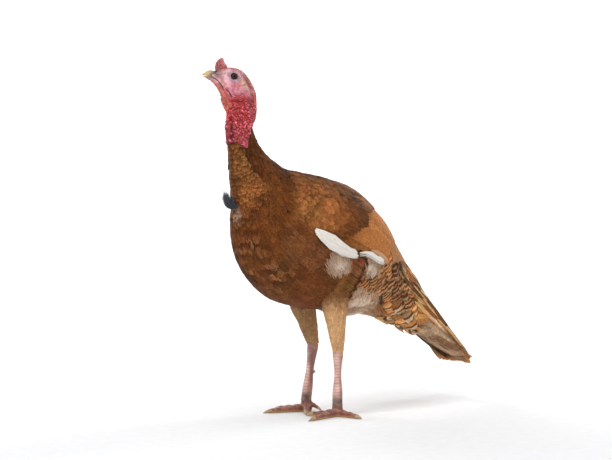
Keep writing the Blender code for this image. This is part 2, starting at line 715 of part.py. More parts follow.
def covert(root, tip, first, last, half_width, tilt):
    """A covert from root to tip that turns from one normal to the other."""
    spine, normals = [], []
    for t in VANE_ROWS:
        normal = first.lerp(last, t).normalized()
        spine.append(root.lerp(tip, t) + normal * (0.0050 * math.sin(math.pi * t)))
        normals.append(normal)
    return vane("covert", spine, normals, vane_widths(half_width, 0.62), even_tilts(tilt, tilt * 1.6))


def tail_coverts(row, number, under):
    """A row of coverts over the tail feathers, or under them, each outer one a little lower than the last."""
    vanes = []
    draw = random.Random(20 + number + 20 * under)
    count = int(2 * row.sides)
    for k in range(count + 1):
        q = k / row.sides - 1
        angle = math.radians(row.spread * q)
        point, along, across, out = body_frame(row.station, math.pi - angle if under else angle)
        reach = row.reach * (1 - 0.10 * abs(q)) + 0.02 * draw.uniform(-1, 1)
        normal = fan_normal(0, reach) * (-1 if under else 1)
        step = 0.0030 * abs(q) + 0.0015 * (q > 0.01)
        tip = fan_point(q * 0.75, reach) + normal * (row.height + (step if under else -step))
        if not under:
            normal = (normal + Vector((0.45 * q, 0, 0))).normalized()
        first = (out + normal).normalized()
        root = point - out * (0.0030 + (0 if under else step * 0.7))
        vanes.append(covert(root, tip, first, normal, row.half_width, 0))
    return vanes


def build_tail():
    """The fleshy root of the tail with its feathers and coverts."""
    rings = [body_ring(TAIL_CUT, 20, -GAP)]
    for row in range(1, 6):
        rings.append(body_ring(TAIL_CUT * (1 - row / 5), 20))
    tail = loft("tail", rings)
    vanes = tail_feathers()
    for under, rows in enumerate((UPPER_COVERTS, UNDER_COVERTS)):
        for number, row in enumerate(rows):
            vanes += tail_coverts(row, number, under)
    boolean(tail, "UNION", vanes)
    return tail


def heading_vector(leg, degrees):
    """A level unit vector turned by degrees from straight ahead, outward from the bird."""
    angle = math.radians(degrees)
    return Vector((leg.side * math.sin(angle), -math.cos(angle), 0))


def build_claw(name, ring, axis, length, down):
    """A claw that goes on from a toe's last ring and bends down."""
    middle = sum(ring, Vector()) / len(ring)
    rings = [moved(ring, axis * GAP)]
    for t, size in ((0.35, 0.82), (0.75, 0.42), (1.0, 0.10)):
        centre = middle + axis * (length * t) + down * (length * 0.24 * t * t)
        rings.append([centre + (point - middle) * size for point in ring])
    loft(name, rings)


def build_toe(foot_name, toe_name, start, heading, toe, lowered):
    """One toe and its claw, with a step at each scute. Returns the toe, to be joined to the foot."""
    path, radii = [], []
    scutes = TOE_SCUTES if lowered else 3
    for scute in range(scutes):
        for t, swell in ((scute / scutes, 0.90), ((scute + 0.85) / scutes, 1.06)):
            upward = (0.0098 - 0.0040 * t) * swell
            across = (0.0084 - 0.0028 * t) * swell
            centre = start + heading * (toe.length * t)
            if lowered:
                centre.z = upward - 0.0008 + max(0.0, 0.25 - t) * 0.012
            else:
                upward, across = upward * 0.70, across * 0.74
                centre.z -= 0.0158 * t
            path.append(centre)
            radii.append((across, upward))
    rings, axes = tube_rings(path, radii, 8, Vector((0, 0, 1)))
    claw_ring = [Vector((p.x, p.y, max(p.z, 0.0006))) for p in rings[-1]] if lowered else rings[-1]
    build_claw("claw_" + foot_name + "_" + toe_name, claw_ring, axes[-1], toe.claw, Vector((0, 0, -0.6 if lowered else -1)))
    return loft("toe", rings)


def build_foot(name, leg, ankle_ring, axis):
    """The foot with its four toes, flat underneath, and the claws."""
    ankle = Vector(leg.ankle)
    rings = [moved(ankle_ring, axis * GAP)]
    middle = sum(ankle_ring, Vector()) / len(ankle_ring)
    for z, size in ((0.022, 1.10), (0.013, 1.35), (0.005, 1.35), (-0.001, 1.15)):
        rings.append([Vector((ankle.x, ankle.y, z)) + (point - middle) * size for point in ankle_ring])
    foot = loft("foot_" + name, rings)
    start = Vector((ankle.x, ankle.y, 0.010))
    toes = [
        build_toe(name, toe_name, start, heading_vector(leg, toe.heading), toe, True)
        for toe_name, toe in leg.toes.items()
    ]
    start.z = 0.026
    toes.append(build_toe(name, "hind", start, heading_vector(leg, HIND_TOE.heading), HIND_TOE, False))
    boolean(foot, "UNION", toes)
    shape = bmesh.new()
    bmesh.ops.create_cube(shape, size=1.0, matrix=Matrix.Translation((0, 0, -0.05)) @ Matrix.Diagonal((1, 1, 0.1, 1)))
    mesh = bpy.data.meshes.new("floor")
    shape.to_mesh(mesh)
    shape.free()
    floor = bpy.data.objects.new("floor", mesh)
    bpy.context.scene.collection.objects.link(floor)
    boolean(foot, "DIFFERENCE", [floor])


def build_leg(name, leg, torso):
    """The feathered thigh, the shank, and the foot with its claws."""
    hip, bulge, hock, ankle = [Vector(p) for p in (leg.hip, leg.knee_bulge, leg.hock, leg.ankle)]
    ahead = heading_vector(leg, leg.turn_out)
    path = [hip, hip.lerp(bulge, 0.5), bulge, bulge.lerp(hock, 0.35), bulge.lerp(hock, 0.7), hock]
    radii = [(0.034, 0.046), (0.033, 0.043), (0.029, 0.036), (0.0235, 0.027), (0.0185, 0.0215), (0.0130, 0.0155)]
    cut = len(path) - 1
    for scute in range(SCUTES):
        for share, step in ((0.12, 0.0), (0.88, 0.0009)):
            t = 0.05 + 0.93 * (scute + share) / SCUTES
            path.append(hock.lerp(ankle, t))
            waist = 0.5 - 0.5 * math.cos(2 * math.pi * min(t * 1.15, 1))
            radii.append((blend((0.0125, 0.0118), t) - 0.0042 * waist, blend((0.0148, 0.0126), t) - 0.0040 * waist + step))
    path.append(ankle)
    radii.append((0.0118, 0.0126))
    rings, axes = tube_rings(path, radii, 12, ahead)
    thigh = loft("thigh_" + name, rings[: cut + 1])
    boolean(thigh, "DIFFERENCE", [grown(torso, "clearance", GAP)])
    shank = loft("shank_" + name, [moved(rings[cut], axes[cut] * GAP)] + rings[cut + 1 :])
    back = (heading_vector(leg, -150) + Vector((0, 0, -0.12))).normalized()
    root = hock.lerp(ankle, 0.50) + back * 0.004
    spur = [root + back * (SPUR_LENGTH * t) for t in (0, 0.5, 0.85, 1.25)]
    spur_rings, spur_axes = tube_rings(spur, [(0.0052, 0.0058), (0.0046, 0.0050), (0.0034, 0.0036), (0.0012, 0.0012)], 8, Vector((0, 0, 1)))
    boolean(shank, "UNION", [loft("spur", spur_rings)])
    build_foot(name, leg, rings[-1], axes[-1])


def build_all():
    """Every node of the bird."""
    torso, neck, bare, head = build_body()
    build_snood(head)
    build_head(head)
    build_bill()
    build_wattle(bare)
    build_caruncles(bare, neck)
    build_beard(torso)
    build_wing("left", 1, torso)
    build_wing("right", -1, torso)
    build_tail()
    for name, leg in LEGS.items():
        build_leg(name, leg, torso)


for old in list(bpy.data.objects):
    bpy.data.objects.remove(old)
build_all()
for made in bpy.context.scene.objects:
    made.data.transform(Matrix.Translation((0, -CENTRE_Y, 0)))
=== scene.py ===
"""The looks of a bourbon red turkey, a young tom: one skin, feathers as mesh vanes, and bare head and feet.

All lengths are metres. As in the solids, the body is laid out from the floor between the feet, with the
bird facing -Y, and moves back by CENTRE_Y. A place on the body is a station, which runs from the tail's core
at 0 to the bill's base at 22, and an angle, from 0 at the back by the left side to 180 degrees at the belly.
In the code s is a station, angle is in radians, and a is in degrees from the back on either side. Colours
are linear.
"""

import itertools
import math

import bmesh
import bpy
import numpy as np
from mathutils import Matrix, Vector, kdtree


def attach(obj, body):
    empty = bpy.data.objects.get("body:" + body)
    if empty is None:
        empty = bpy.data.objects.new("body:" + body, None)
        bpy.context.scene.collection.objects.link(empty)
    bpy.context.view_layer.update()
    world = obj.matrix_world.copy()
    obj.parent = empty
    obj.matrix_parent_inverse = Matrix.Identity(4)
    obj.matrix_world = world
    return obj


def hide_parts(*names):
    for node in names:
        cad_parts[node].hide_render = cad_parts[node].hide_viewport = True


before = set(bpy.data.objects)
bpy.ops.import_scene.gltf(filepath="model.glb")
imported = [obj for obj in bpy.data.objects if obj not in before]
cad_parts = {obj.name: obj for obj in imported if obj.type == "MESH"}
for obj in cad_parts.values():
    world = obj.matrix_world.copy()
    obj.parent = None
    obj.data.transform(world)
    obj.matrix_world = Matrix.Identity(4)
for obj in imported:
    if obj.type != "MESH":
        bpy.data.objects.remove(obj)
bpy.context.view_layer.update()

CENTRE_Y = 0.077
NECK_AXIS_Y = -0.247  # the upright line that the head turns about
UP = np.array([0.0, 0.0, 1.0])
TURN = 2 * math.pi

# Back (y, z), belly (y, z), half width, share of the height where it is widest, turn to the right in degrees.
SECTIONS = {
    "tail core end": (0.334, 0.299, 0.302, 0.196, 0.031, 0.50, 0),
    "tail core": (0.299, 0.344, 0.252, 0.216, 0.045, 0.50, 0),
    "tail root": (0.256, 0.390, 0.190, 0.244, 0.060, 0.50, 0),
    "rump": (0.213, 0.444, 0.122, 0.260, 0.086, 0.50, 0),
    "rear back": (0.153, 0.513, 0.055, 0.263, 0.116, 0.50, 0),
    "middle back": (0.073, 0.573, -0.010, 0.267, 0.134, 0.50, 0),
    "shoulder": (-0.006, 0.599, -0.075, 0.275, 0.136, 0.48, 0),
    "breast": (-0.075, 0.611, -0.150, 0.301, 0.127, 0.46, 0),
    "upper breast": (-0.122, 0.620, -0.212, 0.356, 0.104, 0.45, 0),
    "crop": (-0.150, 0.637, -0.246, 0.426, 0.079, 0.46, 0),
    "neck base": (-0.172, 0.653, -0.254, 0.506, 0.057, 0.48, 0),
    "lower neck": (-0.197, 0.679, -0.262, 0.586, 0.042, 0.50, 0),
    "end of feathers": (-0.2155, 0.716, -0.270, 0.673, 0.033, 0.50, 2),
    "bare neck": (-0.2060, 0.747, -0.2710, 0.742, 0.032, 0.50, 10),
    "throat": (-0.2045, 0.774, -0.2810, 0.769, 0.032, 0.50, 20),
    "upper throat": (-0.2070, 0.803, -0.2885, 0.7895, 0.031, 0.52, 27),
    "nape": (-0.2195, 0.8310, -0.2938, 0.8035, 0.0272, 0.56, 30),
    "back of skull": (-0.2335, 0.8495, -0.2985, 0.8115, 0.0250, 0.58, 30),
    "crown": (-0.2480, 0.8600, -0.3025, 0.8165, 0.0240, 0.58, 30),
    "brow": (-0.2640, 0.8637, -0.3060, 0.8207, 0.0218, 0.55, 30),
    "forehead": (-0.2800, 0.8627, -0.3085, 0.8240, 0.0180, 0.52, 30),
    "lores": (-0.2955, 0.8592, -0.3120, 0.8275, 0.0148, 0.50, 30),
    "bill base": (-0.3070, 0.8545, -0.3160, 0.8310, 0.0118, 0.50, 30),
}
TABLE = np.array(list(SECTIONS.values()))
LAST = len(TABLE) - 1
ROUNDNESS = 0.98
STEP = 0.02  # stations or radians to either side, where a direction on the body is measured
COAT_DEPTH = 0.009  # of the skin under the outline where the coat is full

# Colours
CHESTNUT = (0.130, 0.041, 0.010)
DARK_CHESTNUT = (0.080, 0.024, 0.006)
RUFOUS = (0.225, 0.080, 0.021)
ORANGE_BROWN = (0.440, 0.165, 0.048)
BUFF = (0.560, 0.300, 0.125)
PALE_BUFF = (0.600, 0.430, 0.270)
WHITE = (0.830, 0.790, 0.720)
BLACK_BROWN = (0.028, 0.016, 0.011)
TAN = (0.690, 0.410, 0.200)
NECK_TAN = (0.240, 0.092, 0.025)
STRIPE_TONES = [
    ORANGE_BROWN, (0.500, 0.230, 0.075), BUFF, (0.620, 0.400, 0.200), RUFOUS, (0.070, 0.035, 0.018),
]


# Shapes of change


def ramp(x, low, high):
    """From 0 at low to 1 at high, smoothly."""
    t = np.clip((x - low) / (high - low), 0, 1)
    return t * t * (3 - 2 * t)


def fall(x, low, high):
    """From 1 at low to 0 at high."""
    return 1 - ramp(x, low, high)


def between(x, low, start, end, high):
    """1 from start to end, and 0 below low and above high."""
    return ramp(x, low, start) * fall(x, end, high)


def bell(x, middle, width):
    """1 at the middle, falling off on both sides."""
    return np.exp(-((x - middle) / width) ** 2)


def mix(a, b, t):
    """Colours between a and b, one for each t."""
    a, b = np.asarray(a, float), np.asarray(b, float)
    return a + (b - a) * np.clip(np.asarray(t, float), 0, 1)[..., None]


def washed(tint, *washes):
    """tint with washes laid over it in turn, each a colour and its share at every point."""
    for colour, share in washes:
        tint = tint + (np.asarray(colour, float) - tint) * np.asarray(share)[..., None]
    return tint


def toned(tint, factors, share):
    """tint times factors, as far as the share at every point."""
    return tint * (1 + (np.asarray(factors, float) - 1) * np.asarray(share)[..., None])


def unit(v):
    """Vectors of length 1."""
    return v / (np.linalg.norm(v, axis=-1, keepdims=True) + 1e-12)


def cloud(points, size, seed):
    """Soft chance patches about size across, from -1 to 1."""
    rng = np.random.default_rng(seed)
    total = np.zeros(points.shape[:-1])
    for _ in range(7):
        wave = unit(rng.normal(0, 1, 3)) * TURN / (size * rng.uniform(1.4, 3.0))
        total = total + np.sin(points @ wave + rng.uniform(0, 6))
    return np.clip(total / 3.2, -1, 1)


def smoothed(rows, at):
    """Rows of numbers on a smooth curve through the given rows."""
    last = len(rows) - 1
    k = np.clip(np.floor(at).astype(int), 0, last - 1)
    t = (at - k)[..., None]
    p0, p1, p2, p3 = rows[np.maximum(k - 1, 0)], rows[k], rows[k + 1], rows[np.minimum(k + 2, last)]
    bent = (2 * p0 - 5 * p1 + 4 * p2 - p3) * t * t + (3 * p1 - p0 - 3 * p2 + p3) * t ** 3
    return 0.5 * (2 * p1 + (p2 - p0) * t + bent)


def curve(points, count):
    """count rows of numbers, spread evenly on the curve through the given rows."""
    points = np.asarray(points, float)
    return smoothed(points, np.linspace(0, len(points) - 1, count))


# The body's form


def turn_head(across, y, z, degrees):
    """Points across, along and up from the neck's axis, turned about it."""
    turned = np.radians(degrees)
    y = y - NECK_AXIS_Y
    ahead = NECK_AXIS_Y - CENTRE_Y - across * np.sin(turned) + y * np.cos(turned)
    return np.stack([across * np.cos(turned) + y * np.sin(turned), ahead, z], -1)


def head_point(y, z):
    """A point of the head's upright plane."""
    return turn_head(0.0, y, z, TABLE[LAST][6])


def body_point(s, angle):
    """Points of the outline."""
    s, angle = np.broadcast_arrays(np.asarray(s, float), np.asarray(angle, float))
    back_y, back_z, belly_y, belly_z, half_width, widest, turn = np.moveaxis(smoothed(TABLE, s), -1, 0)
    c, sn = np.cos(angle), np.sin(angle)
    up = widest + np.where(c >= 0, 1 - widest, widest) * np.sign(c) * np.abs(c) ** ROUNDNESS
    across = half_width * np.sign(sn) * np.abs(sn) ** ROUNDNESS
    return turn_head(across, belly_y + up * (back_y - belly_y), belly_z + up * (back_z - belly_z), turn)


def body_frame(s, angle):
    """The point with unit vectors along the body towards the tail, across it and out of it."""
    s, angle = np.broadcast_arrays(np.asarray(s, float), np.asarray(angle, float))
    point = body_point(s, angle)
    along = body_point(s - STEP, angle) - body_point(s + STEP, angle)
    around = body_point(s, angle + STEP) - body_point(s, angle - STEP)
    out = unit(np.cross(along, around))
    centre = (body_point(s, 0) + body_point(s, math.pi)) / 2
    out = np.where(((point - centre) * out).sum(-1, keepdims=True) < 0, -out, out)
    along = unit(along)
    return point, along, unit(np.cross(out, along)), out


def from_back(angle):
    """Degrees from 0 at the back to 180 at the belly, for either side."""
    return np.degrees(np.abs((angle + math.pi) % TURN - math.pi))


def bake_place(s, angle):
    """The place of a root on the unwrap of the body: u along the stations, v round them."""
    return np.stack([0.01 + 0.98 * np.clip(s, 0, LAST) / LAST, 0.01 + 0.98 * (angle / TURN % 1)], -1)


# Making meshes


def mesh_object(name, points, faces, material, colours=None, bake=None, vane=None, marks=None):
    """A mesh object. colours and marks are per point, bake and vane are UV places per point."""
    points = np.asarray(points, np.float32).reshape(-1, 3)
    faces = np.asarray(faces, np.int32)
    mesh = bpy.data.meshes.new(name)
    mesh.vertices.add(len(points))
    mesh.vertices.foreach_set("co", points.ravel())
    mesh.loops.add(faces.size)
    mesh.loops.foreach_set("vertex_index", faces.ravel())
    mesh.polygons.add(len(faces))
    mesh.polygons.foreach_set("loop_start", np.arange(0, faces.size, faces.shape[1], dtype=np.int32))
    mesh.polygons.foreach_set("use_smooth", np.full(len(faces), True))
    mesh.update(calc_edges=True)
    for layer, places in (("OFBake", bake), ("Vane", vane)):
        if places is not None:
            places = np.asarray(places, np.float32).reshape(-1, 2)
            mesh.uv_layers.new(name=layer).uv.foreach_set("vector", places[faces.ravel()].ravel())
    for layer, values in (("Tint", colours), ("Marks", marks)):
        if values is not None:
            values = np.asarray(values, np.float32).reshape(-1, 3)
            rgba = np.concatenate([values, np.ones((len(values), 1), np.float32)], 1)
            mesh.color_attributes.new(layer, "FLOAT_COLOR", "POINT").data.foreach_set("color", rgba.ravel())
    made = bpy.data.objects.new(name, mesh)
    bpy.context.scene.collection.objects.link(made)
    made.data.materials.append(material)
    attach(made, "root")
    return made


def grid_faces(rows, columns, closed=False):
    """The quads of a grid of points, row after row. closed joins the last column to the first."""
    r = np.arange(rows - 1)[:, None]
    c = np.arange(columns if closed else columns - 1)[None, :]
    a = r * columns + c
    b = r * columns + (c + 1) % columns
    return np.stack([a, b, b + columns, a + columns], -1).reshape(-1, 4)


def fit_normals(made, rings=()):
    """Close each ring of points with a face, and turn the closed piece's faces to point out."""
    shape = bmesh.new()
    shape.from_mesh(made.data)
    shape.verts.ensure_lookup_table()
    for ring in rings:
        shape.faces.new([shape.verts[k] for k in ring])
    bmesh.ops.recalc_face_normals(shape, faces=shape.faces)
    shape.to_mesh(made.data)
    shape.free()


# Materials


class Shader:
    """A material's node tree with short calls for its nodes."""

    def __init__(self, name, refraction=1.45):
        self.material = bpy.data.materials.new(name)
        self.material.use_nodes = True
        self.tree = self.material.node_tree
        self.surface = self.tree.nodes["Principled BSDF"]
        self.surface.inputs["IOR"].default_value = refraction

    def put(self, value, socket):
        """Link a socket or set a number or colour. None leaves the socket as it is."""
        if isinstance(value, bpy.types.NodeSocket):
            self.tree.links.new(value, socket)
        elif isinstance(value, tuple) and socket.type == "RGBA":
            socket.default_value = (*value, 1)
        elif value is not None:
            socket.default_value = value

    def node(self, kind, values, out=0, **settings):
        """The output of a new node. values are numbers or links for its inputs, by number or name."""
        made = self.tree.nodes.new("ShaderNode" + kind)
        for setting, value in settings.items():
            setattr(made, setting, value)
        for key, value in values.items():
            self.put(value, made.inputs[key])
        return made.outputs[out]

    def math(self, kind, *values):
        return self.node("Math", dict(enumerate(values)), operation=kind)

    def times(self, a, b):
        return self.math("MULTIPLY", a, b)

    def plus(self, a, b):
        return self.math("ADD", a, b)

    def times_plus(self, a, b, c):
        return self.math("MULTIPLY_ADD", a, b, c)

    def mix(self, share, a, b, blend="MIX"):
        return self.node("Mix", {0: share, 6: a, 7: b}, 2, data_type="RGBA", blend_type=blend)

    def toned(self, colour, factors):
        return self.mix(1.0, colour, factors, "MULTIPLY")

    def tint(self):
        return self.node("Attribute", {}, "Color", attribute_name="Tint")

    def split(self, vector):
        """The three numbers of a vector."""
        parts = self.tree.nodes.new("ShaderNodeSeparateXYZ")
        self.put(vector, parts.inputs[0])
        return list(parts.outputs)

    def marks(self):
        """How strong a feather's dark bars, its pale tip and its dark edges are."""
        return self.split(self.node("Attribute", {}, "Vector", attribute_name="Marks"))

    def vane(self):
        """How far across a vane a point is, from -1 to 1, and how far along it, 1 at the tip."""
        return self.split(self.node("UVMap", {}, uv_map="Vane"))[:2]

    def place(self):
        return self.node("TexCoord", {}, "Object")

    def noise(self, scale, detail=3.0, roughness=0.55, stretch=None):
        """Soft patches about 1 / scale across, from 0 to 1."""
        place = self.place()
        if stretch is not None:
            place = self.node("Mapping", {"Scale": stretch, "Vector": place})
        values = {"Vector": place, "Scale": scale, "Detail": detail, "Roughness": roughness}
        return self.node("TexNoise", values, "Fac")

    def streaks(self, across, along, drift):
        """Noise that is stretched along a vane and differs from one vane to the next."""
        u, v = self.vane()
        parts = self.node("CombineXYZ", {0: self.times(u, across), 1: self.times(v, along)})
        moved = {0: self.place(), 1: (drift, drift, drift), 2: parts}
        place = self.node("VectorMath", moved, operation="MULTIPLY_ADD")
        return self.node("TexNoise", {"Vector": place, "Scale": 1.0, "Detail": 2.0}, "Fac")

    def cells(self, scale):
        return self.node("TexVoronoi", {"Vector": self.place(), "Scale": scale}, "Distance")

    def ramp(self, value, low, high):
        """From 0 at low to 1 at high, smoothly."""
        return self.node("MapRange", {0: value, 1: low, 2: high}, interpolation_type="SMOOTHSTEP")

    def bump(self, height, distance, strength):
        return self.node("Bump", {"Strength": strength, "Distance": distance, "Height": height})

    def finish(self, colour, roughness, normal=None, skin=0.0, coat=0.0, gloss=0.5):
        """The material. skin is how much light goes under its surface, and coat a clear layer over it."""
        values = {
            "Base Color": colour, "Roughness": roughness, "Normal": normal, "Specular IOR Level": gloss,
            "Subsurface Weight": skin, "Subsurface Radius": (0.006, 0.0025, 0.0015), "Subsurface Scale": 0.5,
            "Coat Weight": coat, "Coat Roughness": 0.12,
        }
        for socket, value in values.items():
            self.put(value, self.surface.inputs[socket])
        return self.material


def feather_material(name, barbs=46.0, streak=0.80, roughness=0.60, relief=0.0003):
    """A feather's vane: fine barbs that lean from the shaft to the tip, bars, a pale tip and dark edges."""
    shader = Shader(name)
    u, v = shader.vane()
    bars, tip, edges = shader.marks()
    side = shader.math("ABSOLUTE", u)
    phase = shader.math("SUBTRACT", shader.times(v, barbs), shader.times(side, barbs * 0.22))
    phase = shader.plus(phase, shader.times(shader.noise(60, 2.0), 5.0))
    lines = shader.times_plus(shader.math("SINE", shader.times(phase, TURN)), 0.5, 0.5)
    shade = shader.plus(shader.times(lines, 0.14), shader.times(shader.noise(420, 2.0, 0.6), 0.26))
    shade = shader.times_plus(shader.streaks(3.6, 3.5, 75.0), 0.60, shade)

    wander = shader.times(shader.noise(130, 3.0), 0.26)
    patchy = shader.times_plus(shader.ramp(shader.noise(38, 2.0), 0.36, 0.52), 0.45, 0.55)
    bars = shader.times(bars, patchy)
    arc = shader.plus(shader.times_plus(shader.times(u, u), 0.10, v), wander)
    wave = shader.math("SINE", shader.times(arc, TURN * 2.9))
    colour = shader.mix(shader.times(shader.ramp(wave, -0.40, 0.15), bars), shader.tint(), BLACK_BROWN)
    pale_bar = shader.times(shader.ramp(wave, -0.55, -0.95), shader.times(bars, 0.6))
    colour = shader.mix(pale_bar, colour, BUFF)
    near_tip = shader.times_plus(side, 0.06, v)
    dark_band = shader.times(shader.ramp(near_tip, 0.60, 0.70), shader.times(tip, 0.9))
    colour = shader.mix(dark_band, colour, (0.060, 0.028, 0.014))
    colour = shader.mix(shader.times(shader.ramp(near_tip, 0.77, 0.83), tip), colour, PALE_BUFF)
    rim = shader.math("MAXIMUM", shader.ramp(side, 0.70, 0.95), shader.ramp(near_tip, 0.975, 1.010))
    colour = shader.mix(shader.times(rim, edges), colour, BLACK_BROWN)

    dark, light = shader.toned(colour, (0.46, 0.42, 0.40)), shader.toned(colour, (1.50, 1.44, 1.36))
    colour = shader.mix(streak, colour, shader.mix(shader.ramp(shade, 0.34, 0.64), dark, light))
    shaft = shader.math("SUBTRACT", 1.0, shader.ramp(side, 0.02, 0.07))
    colour = shader.mix(shader.times(shaft, 0.25), colour, (0.36, 0.20, 0.10))
    return shader.finish(colour, roughness, shader.bump(shade, relief, 0.5), gloss=0.05)


def skin_material(name, roughness=0.42, bumps=900.0, relief=0.0004, skin=0.25, veined=1.0):
    """Bare skin with fine wrinkles and small veins of colour."""
    shader = Shader(name)
    tint = shader.tint()
    veins = shader.ramp(shader.noise(90, 5.0, 0.65), 0.36, 0.66)
    dark, light = shader.toned(tint, (0.72, 0.50, 0.55)), shader.toned(tint, (1.18, 1.36, 1.32))
    colour = shader.mix(veined, tint, shader.mix(veins, dark, light))
    height = shader.plus(shader.times(shader.cells(bumps), 0.6), shader.noise(160, 4.0, 0.6))
    return shader.finish(colour, roughness, shader.bump(height, relief, 0.8), skin=skin)


def eye_material():
    """A dark wet eye: nearly black, with a brown iris that shows a little."""
    shader = Shader("eye_wet", 1.34)
    grain = shader.ramp(shader.noise(900, 3.0), 0.35, 0.65)
    colour = shader.mix(grain, shader.toned(shader.tint(), (0.6, 0.6, 0.6)), shader.tint())
    return shader.finish(colour, 0.05, gloss=0.22)


def horn_material(name, roughness):
    """Horn with fine growth lines and a soft gloss."""
    shader = Shader(name)
    lines = shader.noise(420, 4.0, 0.6, (1.0, 1.0, 1.0))
    blotches = shader.plus(shader.times(lines, 0.5), shader.times(shader.noise(130, 3.0), 0.5))
    dark = shader.toned(shader.tint(), (0.72, 0.66, 0.60))
    light = shader.toned(shader.tint(), (1.12, 1.12, 1.12))
    colour = shader.mix(shader.ramp(blotches, 0.36, 0.64), dark, light)
    return shader.finish(colour, roughness, shader.bump(lines, 0.0002, 0.6), skin=0.12, coat=0.15)


def hair_material():
    """Coarse bristle, streaked along its length."""
    shader = Shader("beard_hair")
    grain = shader.ramp(shader.noise(300, 3.0, 0.6, (1, 4, 4)), 0.3, 0.7)
    colour = shader.mix(grain, shader.toned(shader.tint(), (0.55, 0.55, 0.60)), shader.tint())
    return shader.finish(colour, 0.42)


def paper_material():
    """The studio's pale floor."""
    shader = Shader("floor_paper")
    grain = shader.ramp(shader.noise(40, 4.0), 0.3, 0.7)
    return shader.finish(shader.mix(grain, (0.84, 0.84, 0.84), (0.87, 0.87, 0.87)), 0.85)


# Feathers

VANE_T = np.array([0.0, 0.22, 0.45, 0.65, 0.80, 0.91, 0.975, 1.0])  # the rows of a vane, from its root
VANE_X = np.array([-1.0, -0.55, 0.0, 0.55, 1.0])  # its columns, from one side to the other
VANE_RIM = VANE_T[None, :, None] + 0.10 * VANE_X ** 2  # how near its tip or sides each point is
SHOWN_ROW = 5  # the middle of the part that the feathers before it leave bare
SHAPE = (len(VANE_T), len(VANE_X))
MARKED_LENGTH = 0.045  # the length of vane, back from its tip, that the markings are laid out on
LONGEST_RAGGED = 0.05  # longer vanes have tips no more ragged than this one's
BAKE_PATCH = 0.003  # across, of each vane and strand
STRAND_ROWS = [0, 1, 3, 5, 7]
STRAND_SHARES = np.array([1.0, 1.0, 0.85, 0.60, 0.12])
TRIES = 90000  # places thrown on the body before they are thinned out
CUBE = list(itertools.product((-1, 0, 1), repeat=3))


def many(faces, count, points):
    """The faces of count pieces of so many points each."""
    return (faces[None] + (np.arange(count) * points)[:, None, None]).reshape(-1, 4)


def vane_width(broadest, tip):
    """The share of a vane's full half width at each row. tip is how blunt its end is, from 0 to 1."""
    rising = 0.42 + 0.58 * np.sin(np.clip(VANE_T / broadest, 0, 1) * math.pi / 2)
    past = np.clip((VANE_T - broadest) / (1 - broadest), 0, 1)
    return rising * np.sqrt(np.clip(1 - (past * (1 - 0.18 * tip)) ** 2.4, 0, 1))


def lay_vanes(name, material, spine, normals, half_width, tint, bake, rng, camber=0.08, fray=0.09,
              broadest=0.55, tip=0.9, twist=4.0, shares=None, marks=(0, 0, 0), pitch=1.0):
    """A mesh of vanes. spine and normals are (count, rows, 3), tint is (count, rows, columns, 3)."""
    count, shape = len(spine), (len(spine), *SHAPE)
    tangent = unit(np.gradient(spine, axis=1))
    roll = np.radians(rng.normal(0, twist, count))[:, None, None]
    across = unit(unit(np.cross(normals, tangent)) + normals * np.tan(roll))
    width = vane_width(broadest, tip) if shares is None else np.asarray(shares)
    width = (np.broadcast_to(width, shape[:2]) * np.asarray(half_width)[:, None])[..., None]
    reach = width * VANE_X * (1 + fray * rng.normal(0, 1, shape) * VANE_X ** 2)
    sink = camber * width * VANE_X ** 2
    length = np.linalg.norm(spine[:, -1] - spine[:, 0], axis=-1)[:, None, None]
    ragged = fray * rng.normal(0, 1, (count, 1, shape[2])) * (VANE_T ** 6)[:, None]
    ragged = ragged * np.minimum(length, LONGEST_RAGGED) * 0.6
    points = spine[:, :, None] + across[:, :, None] * reach[..., None]
    points = points - normals[:, :, None] * sink[..., None] + tangent[:, :, None] * ragged[..., None]
    u, v = np.broadcast_to(VANE_X, shape), np.broadcast_to(VANE_T[:, None], shape)
    places = np.asarray(bake)[:, None, None] + np.stack([(v - 0.5) * BAKE_PATCH, u * BAKE_PATCH / 2], -1)
    marked = MARKED_LENGTH * pitch * rng.uniform(0.75, 1.35, count)[:, None, None]
    vane = np.stack([u, 1 - (1 - v) * (length / marked)], -1)
    marks = np.broadcast_to(np.asarray(marks, float).reshape(-1, 1, 1, 3), (*shape, 3))
    faces = many(grid_faces(*SHAPE), count, SHAPE[0] * SHAPE[1])
    return mesh_object(name, points, faces, material, tint, places, vane, marks)


def lay_strands(name, material, spine, normals, half_width, tint, bake, rng):
    """A mesh of fine flat strands of down. tint is (count, 3)."""
    spine, normals = spine[:, STRAND_ROWS], normals[:, STRAND_ROWS]
    count, rows = spine.shape[:2]
    across = np.cross(normals, unit(np.gradient(spine, axis=1)))
    across = unit(across + normals * rng.normal(0, 0.35, (count, 1, 1)))
    sides = half_width[:, None, None] * STRAND_SHARES[:, None] * np.array([-1.0, 1.0])
    points = spine[:, :, None] + across[:, :, None] * sides[..., None]
    t = VANE_T[STRAND_ROWS][None, :, None]
    shade = 0.80 + 0.20 * ramp(t, 0.1, 0.6)
    colours = np.broadcast_to(tint[:, None, None, :] * shade[..., None], (count, rows, 2, 3))
    vane = np.zeros((count, rows, 2, 2))
    vane[..., 0] = np.array([-0.3, 0.3])
    vane[..., 1] = t
    places = np.asarray(bake)[:, None, None] + vane * (BAKE_PATCH / 0.6, BAKE_PATCH)
    faces = many(grid_faces(rows, 2), count, rows * 2)
    return mesh_object(name, points, faces, material, colours, places, vane, np.zeros((count, rows, 2, 3)))


def spans(s, angle, step):
    """How far a station and a radian reach at places on the body."""
    along = body_point(s + step, angle) - body_point(s - step, angle)
    around = body_point(s, angle + step) - body_point(s, angle - step)
    return [np.linalg.norm(span, axis=-1) / (2 * step) for span in (along, around)]


